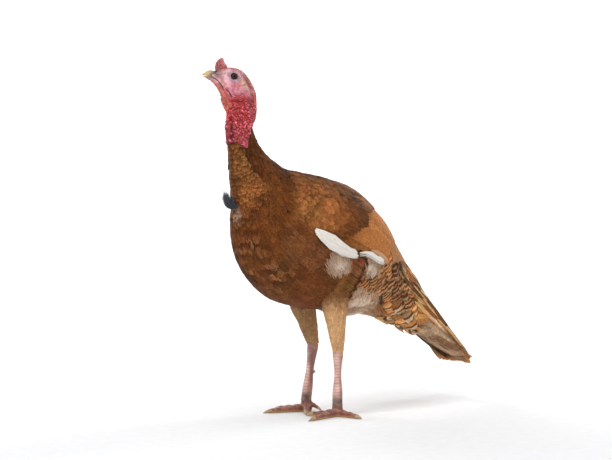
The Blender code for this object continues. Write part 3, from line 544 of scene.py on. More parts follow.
def march(s, angle, length, heading, low, high, bend):
    """Spines that run over the body from roots at s and angle, towards the tail and heading degrees round it.

    They rise from low under the outline at the root and end at high at the tip. The third value returned is
    the station and angle of the part that shows.
    """
    lay, least = 0.0014, 0.004
    spine, normals, places = [], [], []
    turned = np.radians(heading)
    for t, part in zip(VANE_T, np.diff(VANE_T, prepend=0)):
        move = part * length
        along, around = spans(s, angle, 0.01)
        s = np.maximum(s - move * np.cos(turned) / np.maximum(along, least), -0.35)
        angle = angle + move * np.sin(turned) / np.maximum(around, least)
        point, _, _, out = body_frame(s, angle)
        height = high - lay * (1 - t) + (low - high + lay) * fall(t, 0, 0.32) + bend * math.sin(math.pi * t)
        spine.append(point + out * np.asarray(height)[..., None])
        normals.append(out)
        places.append((s, angle))
    return np.stack(spine, 1), np.stack(normals, 1), places[SHOWN_ROW]


def measure(value, s, a):
    """A measure at each place. It is a number, or a function of the station and the degrees from the back."""
    return value(s, a) if callable(value) else value + 0 * s


def scatter(rng, low, high, spacing, keep):
    """Roots spread evenly, spacing apart, between two stations of the body, where keep(s, angle) is true."""
    s = rng.uniform(low, high, TRIES)
    angle = rng.uniform(-math.pi, math.pi, TRIES)
    along = body_point(s + STEP, angle) - body_point(s - STEP, angle)
    around = body_point(s, angle + STEP) - body_point(s, angle - STEP)
    area = np.linalg.norm(np.cross(along, around), axis=-1)
    chosen = rng.uniform(0, area.max(), TRIES) < area
    if keep is not None:
        chosen &= keep(s, angle)
    s, angle = s[chosen], angle[chosen]
    points, gaps = body_point(s, angle), measure(spacing, s, from_back(angle))
    keys = np.floor(points / gaps.max()).astype(int).tolist()
    points, gaps = points.tolist(), gaps.tolist()
    cells, picked = {}, []
    for i, (x, y, z) in enumerate(keys):
        near = (j for dx, dy, dz in CUBE for j in cells.get((x + dx, y + dy, z + dz), ()))
        if all(math.dist(points[i], points[j]) >= gaps[i] for j in near):
            cells.setdefault((x, y, z), []).append(i)
            picked.append(i)
    return s[picked], angle[picked]


def brickwork(rng, low, high, row_step, spacing, keep):
    """Roots in staggered rows round the body, row_step stations apart and spacing metres from one another."""
    s, angle = [], []
    for number, station in enumerate(np.arange(low, high, row_step)):
        ring = body_point(np.full(60, station), np.linspace(0, TURN, 60))
        count = int(np.linalg.norm(np.diff(ring, axis=0), axis=1).sum() / spacing)
        turn = (np.arange(count) + 0.5 * (number % 2) + rng.normal(0, 0.10, count)) / count
        angle.append(turn * TURN - math.pi)
        s.append(station + rng.normal(0, 0.10 * row_step, count))
    s, angle = np.concatenate(s), np.concatenate(angle)
    kept = keep(s, angle)
    return s[kept], angle[kept]


def patterned(rng, count, base, root=None, spread=0.10):
    """Tints of vanes: their own colour with chance changes, and a darker root."""
    base = np.broadcast_to(np.asarray(base, float), (count, 3))
    own = base * np.exp(rng.normal(0, spread, (count, 1))) * np.exp(rng.normal(0, spread * 0.25, (count, 3)))
    t = np.broadcast_to(VANE_T[:, None] + 0.03 * rng.normal(0, 1, (count, 1, 1)), (count, *SHAPE))
    tint = np.broadcast_to(own[:, None, None], (*t.shape, 3))
    return tint if root is None else washed(tint, (root, fall(t, 0.15, 0.55)))


# The coat's colours


def crease(s):
    """The angle, in degrees, of the crease between the pale front of the neck and its dark back."""
    return np.interp(s, [9.2, 10.2, 10.95, 11.4, 12.2], [78, 87, 107, 116, 118])


def neck_front(s, a):
    """The share of the tan, wavy front of the neck."""
    return ramp(s, 9.5, 10.0) * ramp(a - crease(s), -1.5, 1.5)


def row_height(place):
    """How high a place lies across the neck's wavy rows of feathers, which rise towards the back."""
    rising = 0.4 * (0.6 * np.abs(place[..., 0]) + 0.8 * place[..., 1])
    return place[..., 2] - rising + 0.0035 * cloud(place, 0.03, 5)


def coat_colour(s, angle):
    """The ground colour of the body's feathers at places on it, for feathers and skin alike."""
    a = from_back(angle)
    place = body_point(s, angle)
    off = a - crease(s)
    shoulder = between(s, 5.1, 6.7, 7.3, 8.1) * between(a, 14, 30, 72, 88)
    front = ramp(s, 9.3, 10.3) * ramp(off, -1.5, 1.5)
    behind = ramp(s, 9.8, 10.6) * fall(off, -1.5, 1.5)
    # fold: a dark line across the front at the neck's foot, painted shade in the fold there.
    fold = bell(s - 0.004 * (a - 130), 9.62, 0.07) * between(a, 100, 118, 150, 165)
    under_wing = between(a, 82, 92, 112, 128) * between(s, 5.6, 6.6, 7.6, 8.2)
    colour = washed(
        np.broadcast_to(np.asarray(CHESTNUT, float), (*s.shape, 3)),
        ((0.320, 0.118, 0.034), shoulder * 0.88),
        ((0.100, 0.031, 0.009), behind * 0.7),
        # Painted shadow in a band just behind the crease, where the neck's raised front edge overlaps its
        # dark back.
        ((0.050, 0.016, 0.006), behind * bell(off, -5, 6) * 0.8),
        (NECK_TAN, front * 0.95),
        ((0.340, 0.150, 0.050), front * bell(off, 5, 4) * ramp(s, 10.1, 10.6) * 0.8),
        ((0.115, 0.050, 0.022), ramp(s, 9.6, 10.2) * ramp(a, 160, 174) * 0.75),  # the throat
        ((0.360, 0.250, 0.180), bell(s, 9.95, 0.22) * ramp(a, 158, 172) * 0.7),  # a pale spot below the beard
        # Painted shade in the fold at the neck's foot.
        ((0.050, 0.018, 0.006), fold * 0.7),
        ((0.150, 0.054, 0.018), ramp(a, 112, 140) * fall(s, 7.6, 8.6) * 0.6),  # the belly
        ((0.185, 0.072, 0.028), under_wing * 0.6),
        ((0.330, 0.130, 0.040), fall(s, 3.6, 4.8) * fall(a, 60, 90) * 0.8),  # the rump
        ((0.420, 0.270, 0.170), fall(s, 4.3, 4.9) * ramp(a, 112, 128) * 0.8),  # the vent
    )
    # top: the top of the back is painted darker, as painted shade.
    top = fall(a, 30, 66) * fall(s, 9.0, 10.0) * ramp(s, 4.0, 4.8)
    rows = np.sin(TURN * row_height(place) / 0.0130) * (1 - front)
    keel = ramp(a, 118, 136) * between(s, 6.6, 7.4, 8.9, 9.5)
    streaky = cloud(place * (0.8, 0.8, 2.0), 0.022, 6)
    bright = 1 + 0.16 * cloud(place, 0.020, 1) + 0.10 * cloud(place, 0.060, 2)
    bright = bright + rows * (0.22 * shoulder + 0.06)
    bright = bright * (1 + keel * (0.48 * streaky - 0.08))
    colour = colour * (1 - 0.36 * top)[..., None]
    colour = washed(colour, ((0.230, 0.095, 0.040), keel * ramp(streaky, 0.10, 0.80) * 0.45))
    reddish = 0.06 * cloud(place, 0.045, 3)[..., None] * np.array([1.0, -0.3, 0.2])
    return colour * bright[..., None] * (1 + reddish)


def feather_edge(angle):
    """The station where the neck's feathers end: highest at the back, lowest beside the lobes."""
    degrees = [0, 55, 80, 97, 104, 115, 138, 180]
    return np.interp(from_back(angle), degrees, [12.42, 12.32, 12.08, 11.84, 11.76, 11.86, 12.08, 12.20])


def skin_depth(s, angle):
    """How far the skin lies under the outline: by the coat's depth where there are feathers."""
    return COAT_DEPTH * fall(s - feather_edge(angle), -1.3, 0.1) * (0.45 + 0.55 * fall(s, 8.5, 10.5))


# The skin

EYE = (17.4, 80)
EYE_RADIUS = 0.0083
EYE_DEPTH = 0.0040
LID_OPENING = 0.0070
MOUTH = [(22, 109), (20.9, 118), (19.4, 128), (18.2, 134), (17.2, 138), (16.4, 140.5), (15.8, 139)]
CHEEK_FOLD = [(16.0, 128), (15.5, 124), (15.1, 122), (14.8, 122)]
CHEEK = (15.6, 94)
# Ear and nostril: place, how much longer than high, width and height of the lip, the hole's inner and outer
# radius and its depth, and the radii, colour and strength of the painted shade inside the hole.
HOLES = [
    ((15.8, 64), 1.25, 0.0010, 0.0007, (0.0008, 0.0022), 0.0020, (0.0008, 0.0022), (0.20, 0.095, 0.08), 0.80),
    ((21.4, 53), 2.0, 0.0009, 0.0009, (0.0006, 0.0018), 0.0018, (0.0012, 0.0030), (0.03, 0.022, 0.018), 0.95),
]
LIP_RADIUS = 0.0034
# Patches of colour on the bare skin: station, degrees from the back, their half extents, colour and strength.
SKIN_PATCHES = [
    (16.8, 104, 1.3, 24, (0.800, 0.370, 0.410), 0.90),
    (15.6, 104, 0.7, 26, (0.600, 0.180, 0.230), 0.75),
    (18.6, 92, 0.9, 22, (0.700, 0.400, 0.430), 0.80),
    (20.3, 90, 1.0, 24, (0.300, 0.220, 0.180), 0.90),
    (21.6, 45, 0.9, 42, (0.085, 0.066, 0.056), 0.94),
    (20.4, 28, 0.7, 26, (0.420, 0.210, 0.190), 0.60),
    (18.0, 26, 1.6, 26, (0.520, 0.200, 0.200), 0.80),
    (19.0, 122, 1.2, 8, (0.760, 0.420, 0.420), 0.80),
    (20.6, 140, 1.1, 18, (0.330, 0.170, 0.190), 0.85),
    (17.4, 143, 1.0, 6, (0.250, 0.075, 0.100), 0.80),
    (18.2, 155, 1.8, 14, (0.600, 0.200, 0.160), 0.80),
    (16.6, 52, 0.6, 12, (0.480, 0.300, 0.330), 0.60),
    (15.95, 58, 0.42, 15, (0.720, 0.500, 0.320), 0.95),
    (16.35, 44, 0.35, 11, (0.600, 0.400, 0.300), 0.60),
]
# Lobes at the foot of the bare neck: station, degrees from the back, radius, height and drop in metres.
LOBES = [
    (12.32, 139, 0.0105, 0.0034, 0.004), (12.04, 120, 0.0115, 0.0056, 0.007),
    (11.88, 103, 0.0100, 0.0056, 0.013), (12.22, 88, 0.0090, 0.0036, 0.003),
    (12.36, 106, 0.0100, 0.0032, 0.000), (12.42, 68, 0.0085, 0.0026, 0.000),
    (12.62, 122, 0.0085, 0.0026, 0.000), (12.72, 90, 0.0080, 0.0022, 0.000),
]
# The first and last station and the number of rows of points in each stretch, closest on the bare neck.
SKIN_ROWS = [(0, 10.4, 52), (10.5, 11.6, 18), (11.64, 15.4, 230), (15.44, 22, 140)]
SKIN_STATIONS = np.concatenate([np.linspace(*rows) for rows in SKIN_ROWS])
SKIN_COLUMNS = 216


def bulbs(rng, low, high, size_low, size_high, keep, apart=1.75):
    """Places and sizes of warts spread evenly over the bare skin, larger towards the neck's foot."""
    size = lambda s: size_low + (size_high - size_low) * np.clip((s - low) / (high - low), 0, 1)
    s, angle = scatter(rng, low, high, lambda s, a: size(s) * apart, keep)
    return body_point(s, angle), size(s) * rng.uniform(0.60, 1.45, len(s))


def raised(points, centres, sizes):
    """How far round warts at the centres lift each point, its distance from a wart's middle as a share of the
    wart's size, up to 1, and which wart that is."""
    tree = kdtree.KDTree(len(centres))
    for i, centre in enumerate(centres):
        tree.insert(centre, i)
    tree.balance()
    shape = points.shape[:-1]
    lift, gap, nearest = np.zeros(shape), np.ones(shape), np.zeros(shape, int)
    for place in np.ndindex(shape):
        for _, j, distance in tree.find_n(points[place], 2):
            share = distance / sizes[j]
            if share < 1.0:
                lift[place] = max(lift[place], sizes[j] * 0.80 * math.sqrt(1 - share * share))
            if share < gap[place]:
                gap[place] = share
                nearest[place] = j
    return lift, gap, nearest


def bare_colour(s, a):
    """The colours of the bare head and neck."""
    stripe = np.interp(s, [12.7, 13.3, 14.4, 15.3], [82, 76, 62, 54])
    band = bell(a, stripe, 6.5) * between(s, 12.8, 13.3, 14.9, 15.5)
    nape = fall(a - stripe, -26, -8) * between(s, 12.6, 13.4, 17.2, 18.2)
    throat = ramp(a, 134, 146) * between(s, 13.4, 14.2, 16.6, 17.4)
    # Painted shadow on the neck's skin behind the wattle's lower lobe.
    shade_behind_lobe = bell(s, 12.5, 0.42) * bell(a, 165, 9)
    return washed(
        np.tile((0.640, 0.054, 0.058), (*s.shape, 1)),
        ((0.640, 0.110, 0.140), fall(s, 12.3, 12.9) * 0.8),
        ((0.560, 0.210, 0.240), ramp(s, 14.4, 15.3) * fall(a, 120, 140)),
        ((0.430, 0.200, 0.280), band * 0.6),
        ((0.660, 0.135, 0.085), nape * 0.8),
        ((0.600, 0.170, 0.115), throat * 0.9),
        ((0.780, 0.410, 0.430), ramp(s, 16.6, 17.6) * fall(a, 130, 150)),
        ((0.070, 0.014, 0.022), shade_behind_lobe * 0.92),
        *[(patch, bell(s, at_s, wide_s) * bell(a, at_a, wide_a) * strength)
          for at_s, at_a, wide_s, wide_a, patch, strength in SKIN_PATCHES],
    )


def lay_warts(rng, s, a, point, out, tint, bare):
    """Lift and tint the warts of the neck's and throat's bare skin, in place."""
    side_warts = lambda s, angle: (
        (s > feather_edge(angle)) & ((s < 14.48 + 0.22 * np.sin(angle * 9)) | (from_back(angle) < 60))
        & ((from_back(angle) < 141) | (s < 14.0))
    )
    small_warts = lambda s, angle: (from_back(angle) < 42) | (from_back(angle) > 143)
    centres, sizes = bulbs(rng, 11.7, 15.2, 0.0031, 0.0011, side_warts)
    more, small = bulbs(rng, 14.0, 17.6, 0.0016, 0.0011, small_warts, apart=2.1)
    lift, gap, nearest = raised(point, np.concatenate([centres, more]), np.concatenate([sizes, small]))
    count = len(centres) + len(more)
    own = np.exp(rng.normal(-0.05, 0.42, count))[nearest]
    bluish = np.exp(rng.normal(0, 0.12, count))[nearest]
    point += out * lift[..., None]
    warty = bare * (1 - ramp(s, 14.2, 14.9) * ramp(a, 40, 60)) * (1 - 0.6 * ramp(s, 16.6, 17.8))
    warty = warty * (1 - 0.75 * ramp(a, 140, 148) * ramp(s, 13.8, 14.4))
    tint *= 1 + (own[..., None] ** (0.6, 1.3, 1.3) - 1) * (warty * fall(gap, 0.7, 0.95))[..., None]
    tint[..., 2] *= 1 + (bluish - 1) * warty
    # Painted shade in the hollows between the warts, and a painted highlight on their tops.
    tint[:] = toned(tint, (0.36, 0.09, 0.13), warty * ramp(gap, 0.72, 1.0) * 0.9)
    tint[:] = washed(tint, (tint * (1.15, 1.30, 1.30) + 0.02, warty * fall(gap, 0.10, 0.70) * 0.8))


def build_skin(material):
    """One skin from the tail's core to the bill's base, feathered part and bare part alike."""
    rng = np.random.default_rng(11)
    angles = np.arange(SKIN_COLUMNS) * TURN / SKIN_COLUMNS
    s, angle = np.meshgrid(SKIN_STATIONS, angles, indexing="ij")
    point, _, _, out = body_frame(s, angle)
    point = point - out * skin_depth(s, angle)[..., None]
    a = from_back(angle)
    past_feathers = s - feather_edge(angle)
    bare = ramp(past_feathers, -0.15, 0.05)
    tint = washed(coat_colour(s, angle) * 0.55, (bare_colour(s, a), bare))
    rows = SKIN_STATIONS > 11.5
    warty_point, warty_tint = point[rows], tint[rows]
    lay_warts(rng, s[rows], a[rows], warty_point, out[rows], warty_tint, bare[rows])
    point[rows], tint[rows] = warty_point, warty_tint
    for side in (1, -1):
        for at_s, at_a, radius, height, drop in LOBES:
            middle = body_point(at_s, side * math.radians(at_a))
            share = np.linalg.norm(point - middle, axis=-1) / radius
            swell = np.clip(1 - share ** 2, 0, 1) ** 0.7 * ramp(past_feathers, -0.12, 0.05)
            point = point + out * (height * swell)[..., None] - UP * (drop * swell ** 2)[..., None]
        point, tint = face_forms(side, s, angle, point, out, tint)
    faces = grid_faces(len(SKIN_STATIONS), SKIN_COLUMNS, closed=True)
    made = mesh_object("skin_body", point, faces, material, tint, bake_place(s, angle))
    fix_bake_seam(made)
    ends = (0, len(SKIN_STATIONS) - 1)
    fit_normals(made, [range(row * SKIN_COLUMNS, (row + 1) * SKIN_COLUMNS) for row in ends])
    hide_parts("torso", "neck_feathered", "neck_bare", "head")


def fix_bake_seam(made):
    """Keep the unwrap's last column from running back across it."""
    layer = made.data.uv_layers["OFBake"]
    flat = np.zeros(len(layer.uv) * 2, np.float32)
    layer.uv.foreach_get("vector", flat)
    v = flat.reshape(-1, 4, 2)[:, :, 1]
    wide = (v.max(1) - v.min(1)) > 0.5
    v[wide[:, None] & (v < 0.5)] = 0.99
    layer.uv.foreach_set("vector", flat)


def eye_place(side):
    """The eyeball's middle, its outward, along and across directions, and the skin's point over it."""
    point, along, across, out = body_frame(EYE[0], side * math.radians(EYE[1]))
    return point - out * EYE_DEPTH, out, along, across, point


def along_curve(points, marks):
    """For each point, its distance from the curve through marks and how far along the curve it is, 0 to 1."""
    marks = np.asarray(marks, float)
    best = np.full(points.shape[:-1], 1e9)
    share = np.zeros(points.shape[:-1])
    for k in range(len(marks) - 1):
        a, b = marks[k], marks[k + 1]
        t = np.clip(((points - a) @ (b - a)) / ((b - a) @ (b - a)), 0, 1)
        distance = np.linalg.norm(points - (a + t[..., None] * (b - a)), axis=-1)
        nearer = distance < best
        best = np.where(nearer, distance, best)
        share = np.where(nearer, (k + t) / (len(marks) - 1), share)
    return best, share


def groove(point, tint, lift, marks, side, width, depth, lip, colour):
    """A groove with soft lips along marks of (station, degrees), with painted shade inside it and a painted
    highlight on its lips.
    """
    marks = np.array(marks, float)
    line = body_point(marks[:, 0], side * np.radians(marks[:, 1]))
    distance, share = along_curve(point, curve(line, 24))
    ends = fall(share, 0.88, 1.0)
    inside = bell(distance, 0, width) * ends
    lips = bell(distance, 3.2 * width, 1.8 * width) * ends
    # Painted shade inside the groove, and a painted highlight on its raised lips.
    tint = toned(washed(tint, (colour, inside * 0.92)), (1.12, 1.25, 1.20), lips * 0.7)
    return tint, lift - inside * depth + lips * lip


def eyelids(side, point, tint, lift):
    """The lids, the wrinkled ring round them and the opening over the eyeball."""
    _, outward, along, across, surface = eye_place(side)
    flat = point - surface
    depth = flat @ outward
    flat = flat - depth[..., None] * outward
    x, y = flat @ along, flat @ across
    reach = np.sqrt((x / 1.08) ** 2 + y ** 2)
    near = depth > -0.02
    wrinkles = 0.5 + 0.5 * np.cos(reach / 0.00115 * math.pi + 0.6 * np.sin(np.arctan2(y, x) * 3))
    rim = bell(reach, 0.0084, 0.0012) * 0.0013
    hollow = fall(reach, LID_OPENING - 0.0008, LID_OPENING + 0.0008) * 0.0060
    lift = lift + near * (rim + wrinkles * 0.0003 * between(reach, 0.009, 0.010, 0.0135, 0.0165) - hollow)
    ring = near * between(reach, 0.0074, 0.0086, 0.0125, 0.0165)
    # The pale ring, with painted shade in its wrinkles' troughs, and painted shade on the lids' inner edge
    # round the opening.
    tint = washed(
        tint, ((0.620, 0.440, 0.520), ring * 0.85), ((0.200, 0.110, 0.150), ring * (1 - wrinkles) * 0.65),
        ((0.040, 0.018, 0.018), near * fall(reach, 0.0074, 0.0092) * 0.95),
    )
    return tint, lift


def face_forms(side, s, angle, point, out, tint):
    """The lids, ear, nostril, mouth and cheek folds of one side of the head."""
    tint, lift = eyelids(side, point, tint, np.zeros(s.shape))
    # The mouth's line and the cheek's fold: grooves with painted shade inside.
    tint, lift = groove(point, tint, lift, MOUTH, side, 0.0014, 0.0024, 0.0015, (0.050, 0.016, 0.018))
    tint, lift = groove(point, tint, lift, CHEEK_FOLD, side, 0.0016, 0.0022, 0.0012, (0.090, 0.018, 0.026))
    for (at_s, at_a), longer, lip, lip_height, radii, depth, shade_radii, colour, strength in HOLES:
        hole, along, across, outward = body_frame(at_s, side * math.radians(at_a))
        local = point - hole
        ring = np.sqrt(((local @ along) / longer) ** 2 + (local @ across) ** 2 + (local @ outward) ** 2)
        lift = lift + bell(ring, LIP_RADIUS, lip) * lip_height - fall(ring, *radii) * depth
        # Painted shade inside the ear's and the nostril's holes.
        tint = washed(tint, (colour, fall(ring, *shade_radii) * strength))
    a = (np.degrees(angle * side) + 180) % 360 - 180
    arcs = np.linalg.norm(point - body_point(CHEEK[0], side * math.radians(CHEEK[1])), axis=-1)
    folds = np.cos(arcs / 0.0024 * math.pi) * between(arcs, 0.010, 0.014, 0.033, 0.038)
    folds = folds * between(a, 66, 84, 126, 138) * fall(s, 15.1, 15.5)
    # Painted shade in the troughs of the cheek's folds.
    tint = toned(tint, (0.42, 0.14, 0.18), np.clip(-folds, 0, 1) * 0.7)
    creases = np.sin(a * 0.55 + 2.0 * np.sin(s * 2.5)) * between(s, 19.2, 19.8, 21.5, 21.9)
    creases = creases * between(a, 20, 45, 95, 110)
    # Painted shade in the troughs of the creases on the lores.
    tint = toned(tint, (0.50, 0.45, 0.42), np.clip(-creases, 0, 1) * 0.7)
    return point + out * (lift + folds * 0.0011 + creases * 0.0005)[..., None], tint


# The coat

ROW_PERIOD = 0.0092  # between the wavy rows of feathers on the front of the neck
ROOT_DEPTH = 0.0012  # of a feather's root under the skin
PLUME_SHADES = np.array([1.0, 1.0, 1.0, 0.50, 1.15, 0.42, 1.15, 0.90])  # light and dark bands along a plume
# Degrees from the back of the root and the tip of each plume.
PLUMES = [(92, 97), (99, 105), (106, 113), (114, 122), (122, 131), (130, 140), (138, 148)]


def larger_below(value, more, low, high):
    """A measure of feathers that grows by more from the station high down to low."""
    return lambda s, a: value + more * fall(s, low, high)


def gather(s, angle):
    """The change of station that brings each root to the nearest row."""
    height = row_height(body_point(s, angle))
    slope = (row_height(body_point(s + STEP, angle)) - row_height(body_point(s - STEP, angle))) / (2 * STEP)
    off = (np.round(height / ROW_PERIOD) - height / ROW_PERIOD) * ROW_PERIOD
    return np.clip(off / np.maximum(slope, 0.01), -0.2, 0.2)


def body_coat(name, material, rng, layout, length, half_width, heading=0.0, rise=0.0006, loose=0.0004,
              lift=None, ground=None, root=DARK_CHESTNUT, fringe=1.22, spread=0.12, gathered=False, **form):
    """Contour feathers over a stretch of the body, with roots at the stations and angles of the layout.

    length, half_width and heading are numbers or functions of the station and the degrees from the back.
    ground is a list of colours to pick from by chance, or None for the coat's own colour at each place.
    fringe is how much brighter the tips are, and loose is how unevenly they rise. gathered draws the roots
    on the front of the neck together into its wavy rows. form goes on to lay_vanes.
    """
    s, angle = layout
    count = len(s)
    a = from_back(angle)
    if gathered:
        s = s + gather(s, angle) * neck_front(s, a)
    long = measure(length, s, a) * rng.uniform(0.88, 1.12, count)
    wide = measure(half_width, s, a) * rng.uniform(0.90, 1.10, count)
    turn = np.sign(np.sin(angle)) * measure(heading, s, a) + rng.normal(0, 5, count)
    high_end = rise + rng.normal(0, loose, count) + (0 if lift is None else lift(s, a))
    low = -skin_depth(s, angle) - ROOT_DEPTH
    spine, normals, shown = march(s, angle, long, turn, low, high_end, 0.0005)
    if ground is None:
        colour = coat_colour(*shown)
    else:
        colour = np.array(ground)[rng.integers(0, len(ground), count)]
        colour = colour * (1 + 0.42 * cloud(body_point(s, angle), 0.032, 8))[:, None]
    tint = patterned(rng, count, colour, root=root, spread=spread)
    rim = VANE_RIM + 0.02 * rng.normal(0, 1, (count, 1, 1))
    tint = tint * (1 + (fringe - 1) * ramp(rim, 0.84, 0.98))[..., None]
    if gathered:
        # On the neck's front each feather is pale near its tip and darker at its base and very rim: its own
        # pale tip, with painted shade where the row above overlaps and along the rim.
        band = 0.62 * between(rim, 0.62, 0.84, 0.90, 0.98) - 0.28
        tint = tint * (1 + neck_front(s, a)[:, None, None] * band)[..., None]
    return lay_vanes(name, material, spine, normals, wide, tint, bake_place(s, angle), rng, **form)


def flank_end(a):
    """The station where the flank's feathers end, by the degrees from the back."""
    return np.interp(a, [0, 55, 80, 96, 112, 140, 150, 180], [2.6, 2.6, 3.9, 4.45, 4.65, 4.75, 3.9, 3.4])


def in_barred_zone(s, angle):
    """Behind the flank, below the wing and above the thigh."""
    a = from_back(angle)
    return (s < flank_end(a) + 0.40) & (a > 74) & (a < 122)


def build_coat(material, flight):
    """The contour feathers of the neck, breast, back, flanks and rump."""
    rng = np.random.default_rng(21)
    on_neck = lambda s, angle: s < feather_edge(angle) - 0.02
    on_body = lambda s, angle: s > flank_end(from_back(angle)) + 0.35
    on_vent = lambda s, angle: (from_back(angle) >= 116) & (s < 2.95)
    on_rump = lambda s, angle: from_back(angle) < 66 + 10 * ramp(s, 1.2, 2.2)
    made = [
        body_coat(
            "neck_feathers", material, rng,
            scatter(rng, 9.5, 12.4, larger_below(0.0044, 0.0012, 9.6, 11.0), on_neck),
            larger_below(0.0190, 0.004, 9.6, 11.0), larger_below(0.0060, 0.0010, 9.6, 11.0),
            lambda s, a: 5 + 8 * ramp(a, 90, 130), fringe=1.10, gathered=True, loose=0.0008,
            lift=lambda s, a: 0.0040 * bell(a - crease(s), 6, 5) * ramp(s, 10.0, 10.5), marks=(0, 0, 0.35),
        ),
        body_coat(
            "breast_feathers", material, rng,
            scatter(rng, 6.1, 9.7, larger_below(0.0066, 0.0026, 7.0, 9.4), None),
            larger_below(0.0250, 0.010, 7.0, 9.4), larger_below(0.0068, 0.0034, 7.0, 9.4),
            lambda s, a: 10 * ramp(a, 50, 90), spread=0.08, marks=(0, 0, 0.22),
        ),
        body_coat(
            "body_feathers", material, rng, scatter(rng, 2.8, 6.3, 0.0092, on_body), 0.0370, 0.0112,
            lambda s, a: 14 * ramp(a, 60, 100) * ramp(s, 3.0, 4.5), spread=0.09, marks=(0, 0, 0.25),
        ),
        body_coat(
            "barred_coverts", flight, rng, brickwork(rng, 1.3, 4.75, 0.38, 0.0215, in_barred_zone),
            0.0500, 0.0150, 34, rise=0.0040, loose=0.0010, marks=(0.85, 0.35, 0.60), root=(0.08, 0.05, 0.03),
            ground=[
                (0.590, 0.205, 0.050), (0.300, 0.112, 0.036), (0.640, 0.290, 0.095), (0.600, 0.215, 0.052),
            ],
            spread=0.16, fray=0.10, twist=7.0, pitch=0.85, camber=0.16,
        ),
        body_coat(
            "vent_coverts", flight, rng, brickwork(rng, 0.2, 3.05, 0.40, 0.0235, on_vent),
            0.0480, 0.0160, 22, rise=0.0050, loose=0.0030, marks=(0.0, 1.0, 0.0), root=(0.20, 0.11, 0.06),
            ground=[(0.640, 0.290, 0.090), (0.460, 0.185, 0.058), (0.560, 0.300, 0.125)],
            lift=lambda s, a: 0.0070 * ramp(a, 140, 165), spread=0.16, fray=0.09, twist=5.0, camber=0.16,
        ),
    ]
    for number in range(3):
        made.append(body_coat(
            "rump_feathers_%d" % number, material, rng, scatter(rng, 0.2, 3.0, 0.0140, on_rump),
            0.0560, 0.0068, rise=0.0012 + 0.0004 * number, marks=(0.25, 0.12, 0.70),
            ground=STRIPE_TONES, root=(0.10, 0.06, 0.04), spread=0.20,
        ))
    made.append(flank_plumes(material, rng))


def strips_on_body(name, material, rng, paths, half_width, heights, tint, **form):
    """Vanes with spines along paths on the body, each a list of stations and degrees, negative on the right.

    heights are how high over the outline each vane's root and tip lie.
    """
    spines, outs, places = [], [], []
    for path, (low, high) in zip(paths, heights):
        at = np.linspace(0, 1, len(path))
        stations, degrees = np.array(path, float).T
        s, angle = np.interp(VANE_T, at, stations), np.radians(np.interp(VANE_T, at, degrees))
        point, _, _, out = body_frame(s, angle)
        rise = low + (high - low) * VANE_T + 0.0015 * np.sin(math.pi * VANE_T)
        spines.append(point + out * rise[:, None])
        outs.append(out)
        places.append(bake_place(s[0], angle[0]))
    return lay_vanes(name, material, np.array(spines), np.array(outs), half_width, tint, places, rng, **form)


def flank_plumes(material, rng):
    """The long curved feathers that end the flank in front of the thigh's fluff."""
    paths, heights = [], []
    for side in (1, -1):
        for k, (root, tip) in enumerate(PLUMES):
            paths.append([(6.1, root * side), (5.4, (root + 1) * side), (4.62 - 0.05 * (k % 2), tip * side)])
            heights.append((-0.004, 0.0042 + 0.0012 * (k % 3)))
    count, t = len(paths), VANE_T[:, None]
    tint = washed(
        patterned(rng, count, (0.230, 0.090, 0.031), root=DARK_CHESTNUT, spread=0.30),
        ((0.030, 0.014, 0.008), ramp(t, 0.74, 0.88) * 0.9),
        ((0.440, 0.180, 0.062), ramp(t, 0.93, 0.98) * 0.8),
    )
    tint = tint * PLUME_SHADES[:, None, None]
    wide = 0.0150 + rng.uniform(-0.002, 0.002, count)
    return strips_on_body("flank_plumes", material, rng, paths, wide, heights, tint,
                          broadest=0.7, twist=2.0, marks=(0, 0, 0.9))


# The wings


def tier(name, side, material, rng, roots, tips, count, half_width, height, base, marks, root, spread):
    """A tier of long feathers. roots and tips are given, in stations and degrees, at the tier's two ends."""
    paths, heights = [], []
    roots, tips = np.array(roots, float), np.array(tips, float)
    for t in np.arange(count) / (count - 1):
        from_s, from_a = roots[0] + (roots[1] - roots[0]) * t
        to_s, to_a = tips[0] + (tips[1] - tips[0]) * t + (rng.normal(0, 0.05), rng.normal(0, 0.8))
        halfway = ((from_s + to_s) / 2, ((from_a + to_a) / 2 + 3.0) * side)
        paths.append([(from_s, from_a * side), halfway, (to_s, to_a * side)])
        heights.append(np.array(height) + 0.0009 * (1 - t))
    tint = patterned(rng, count, base, root=root, spread=spread)
    return strips_on_body(name, material, rng, paths, np.full(count, half_width), heights, tint,
                          broadest=0.6, tip=0.8, twist=1.5, fray=0.03, marks=marks)


def build_wing(name, side, material, pale):
    """A folded wing: secondaries, tertials and scapulars, small coverts over the arm, and pale primaries."""
    rng = np.random.default_rng(31 if side > 0 else 32)
    tiers = [
        # roots, tips, count, half width, heights, colour, marks, the root's colour, spread of colours
        ("secondaries_", [(6.2, 88), (5.4, 50)], [(3.35, 82), (2.45, 50)], 13, 0.0140, (0.0000, 0.0032),
         (0.450, 0.185, 0.058), (0.10, 0.12, 0.25), RUFOUS, 0.06),
        ("tertials_", [(6.0, 78), (5.3, 40)], [(4.00, 80), (3.25, 40)], 11, 0.0155, (0.0015, 0.0050),
         (0.500, 0.188, 0.054), (0.0, 0.0, 0.10), RUFOUS, 0.06),
        ("scapulars_", [(6.3, 44), (6.0, 14)], [(4.7, 48), (4.1, 16)], 9, 0.0150, (0.0005, 0.0048),
         (0.215, 0.076, 0.021), (0.0, 0.0, 0.12), CHESTNUT, 0.10),
    ]
    made = [tier(label + name, side, material, rng, *plan) for label, *plan in tiers]
    made.append(wing_coverts(name, side, material, rng))
    made.append(white_primaries(name, side, pale, rng))
    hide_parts("wing_" + name)


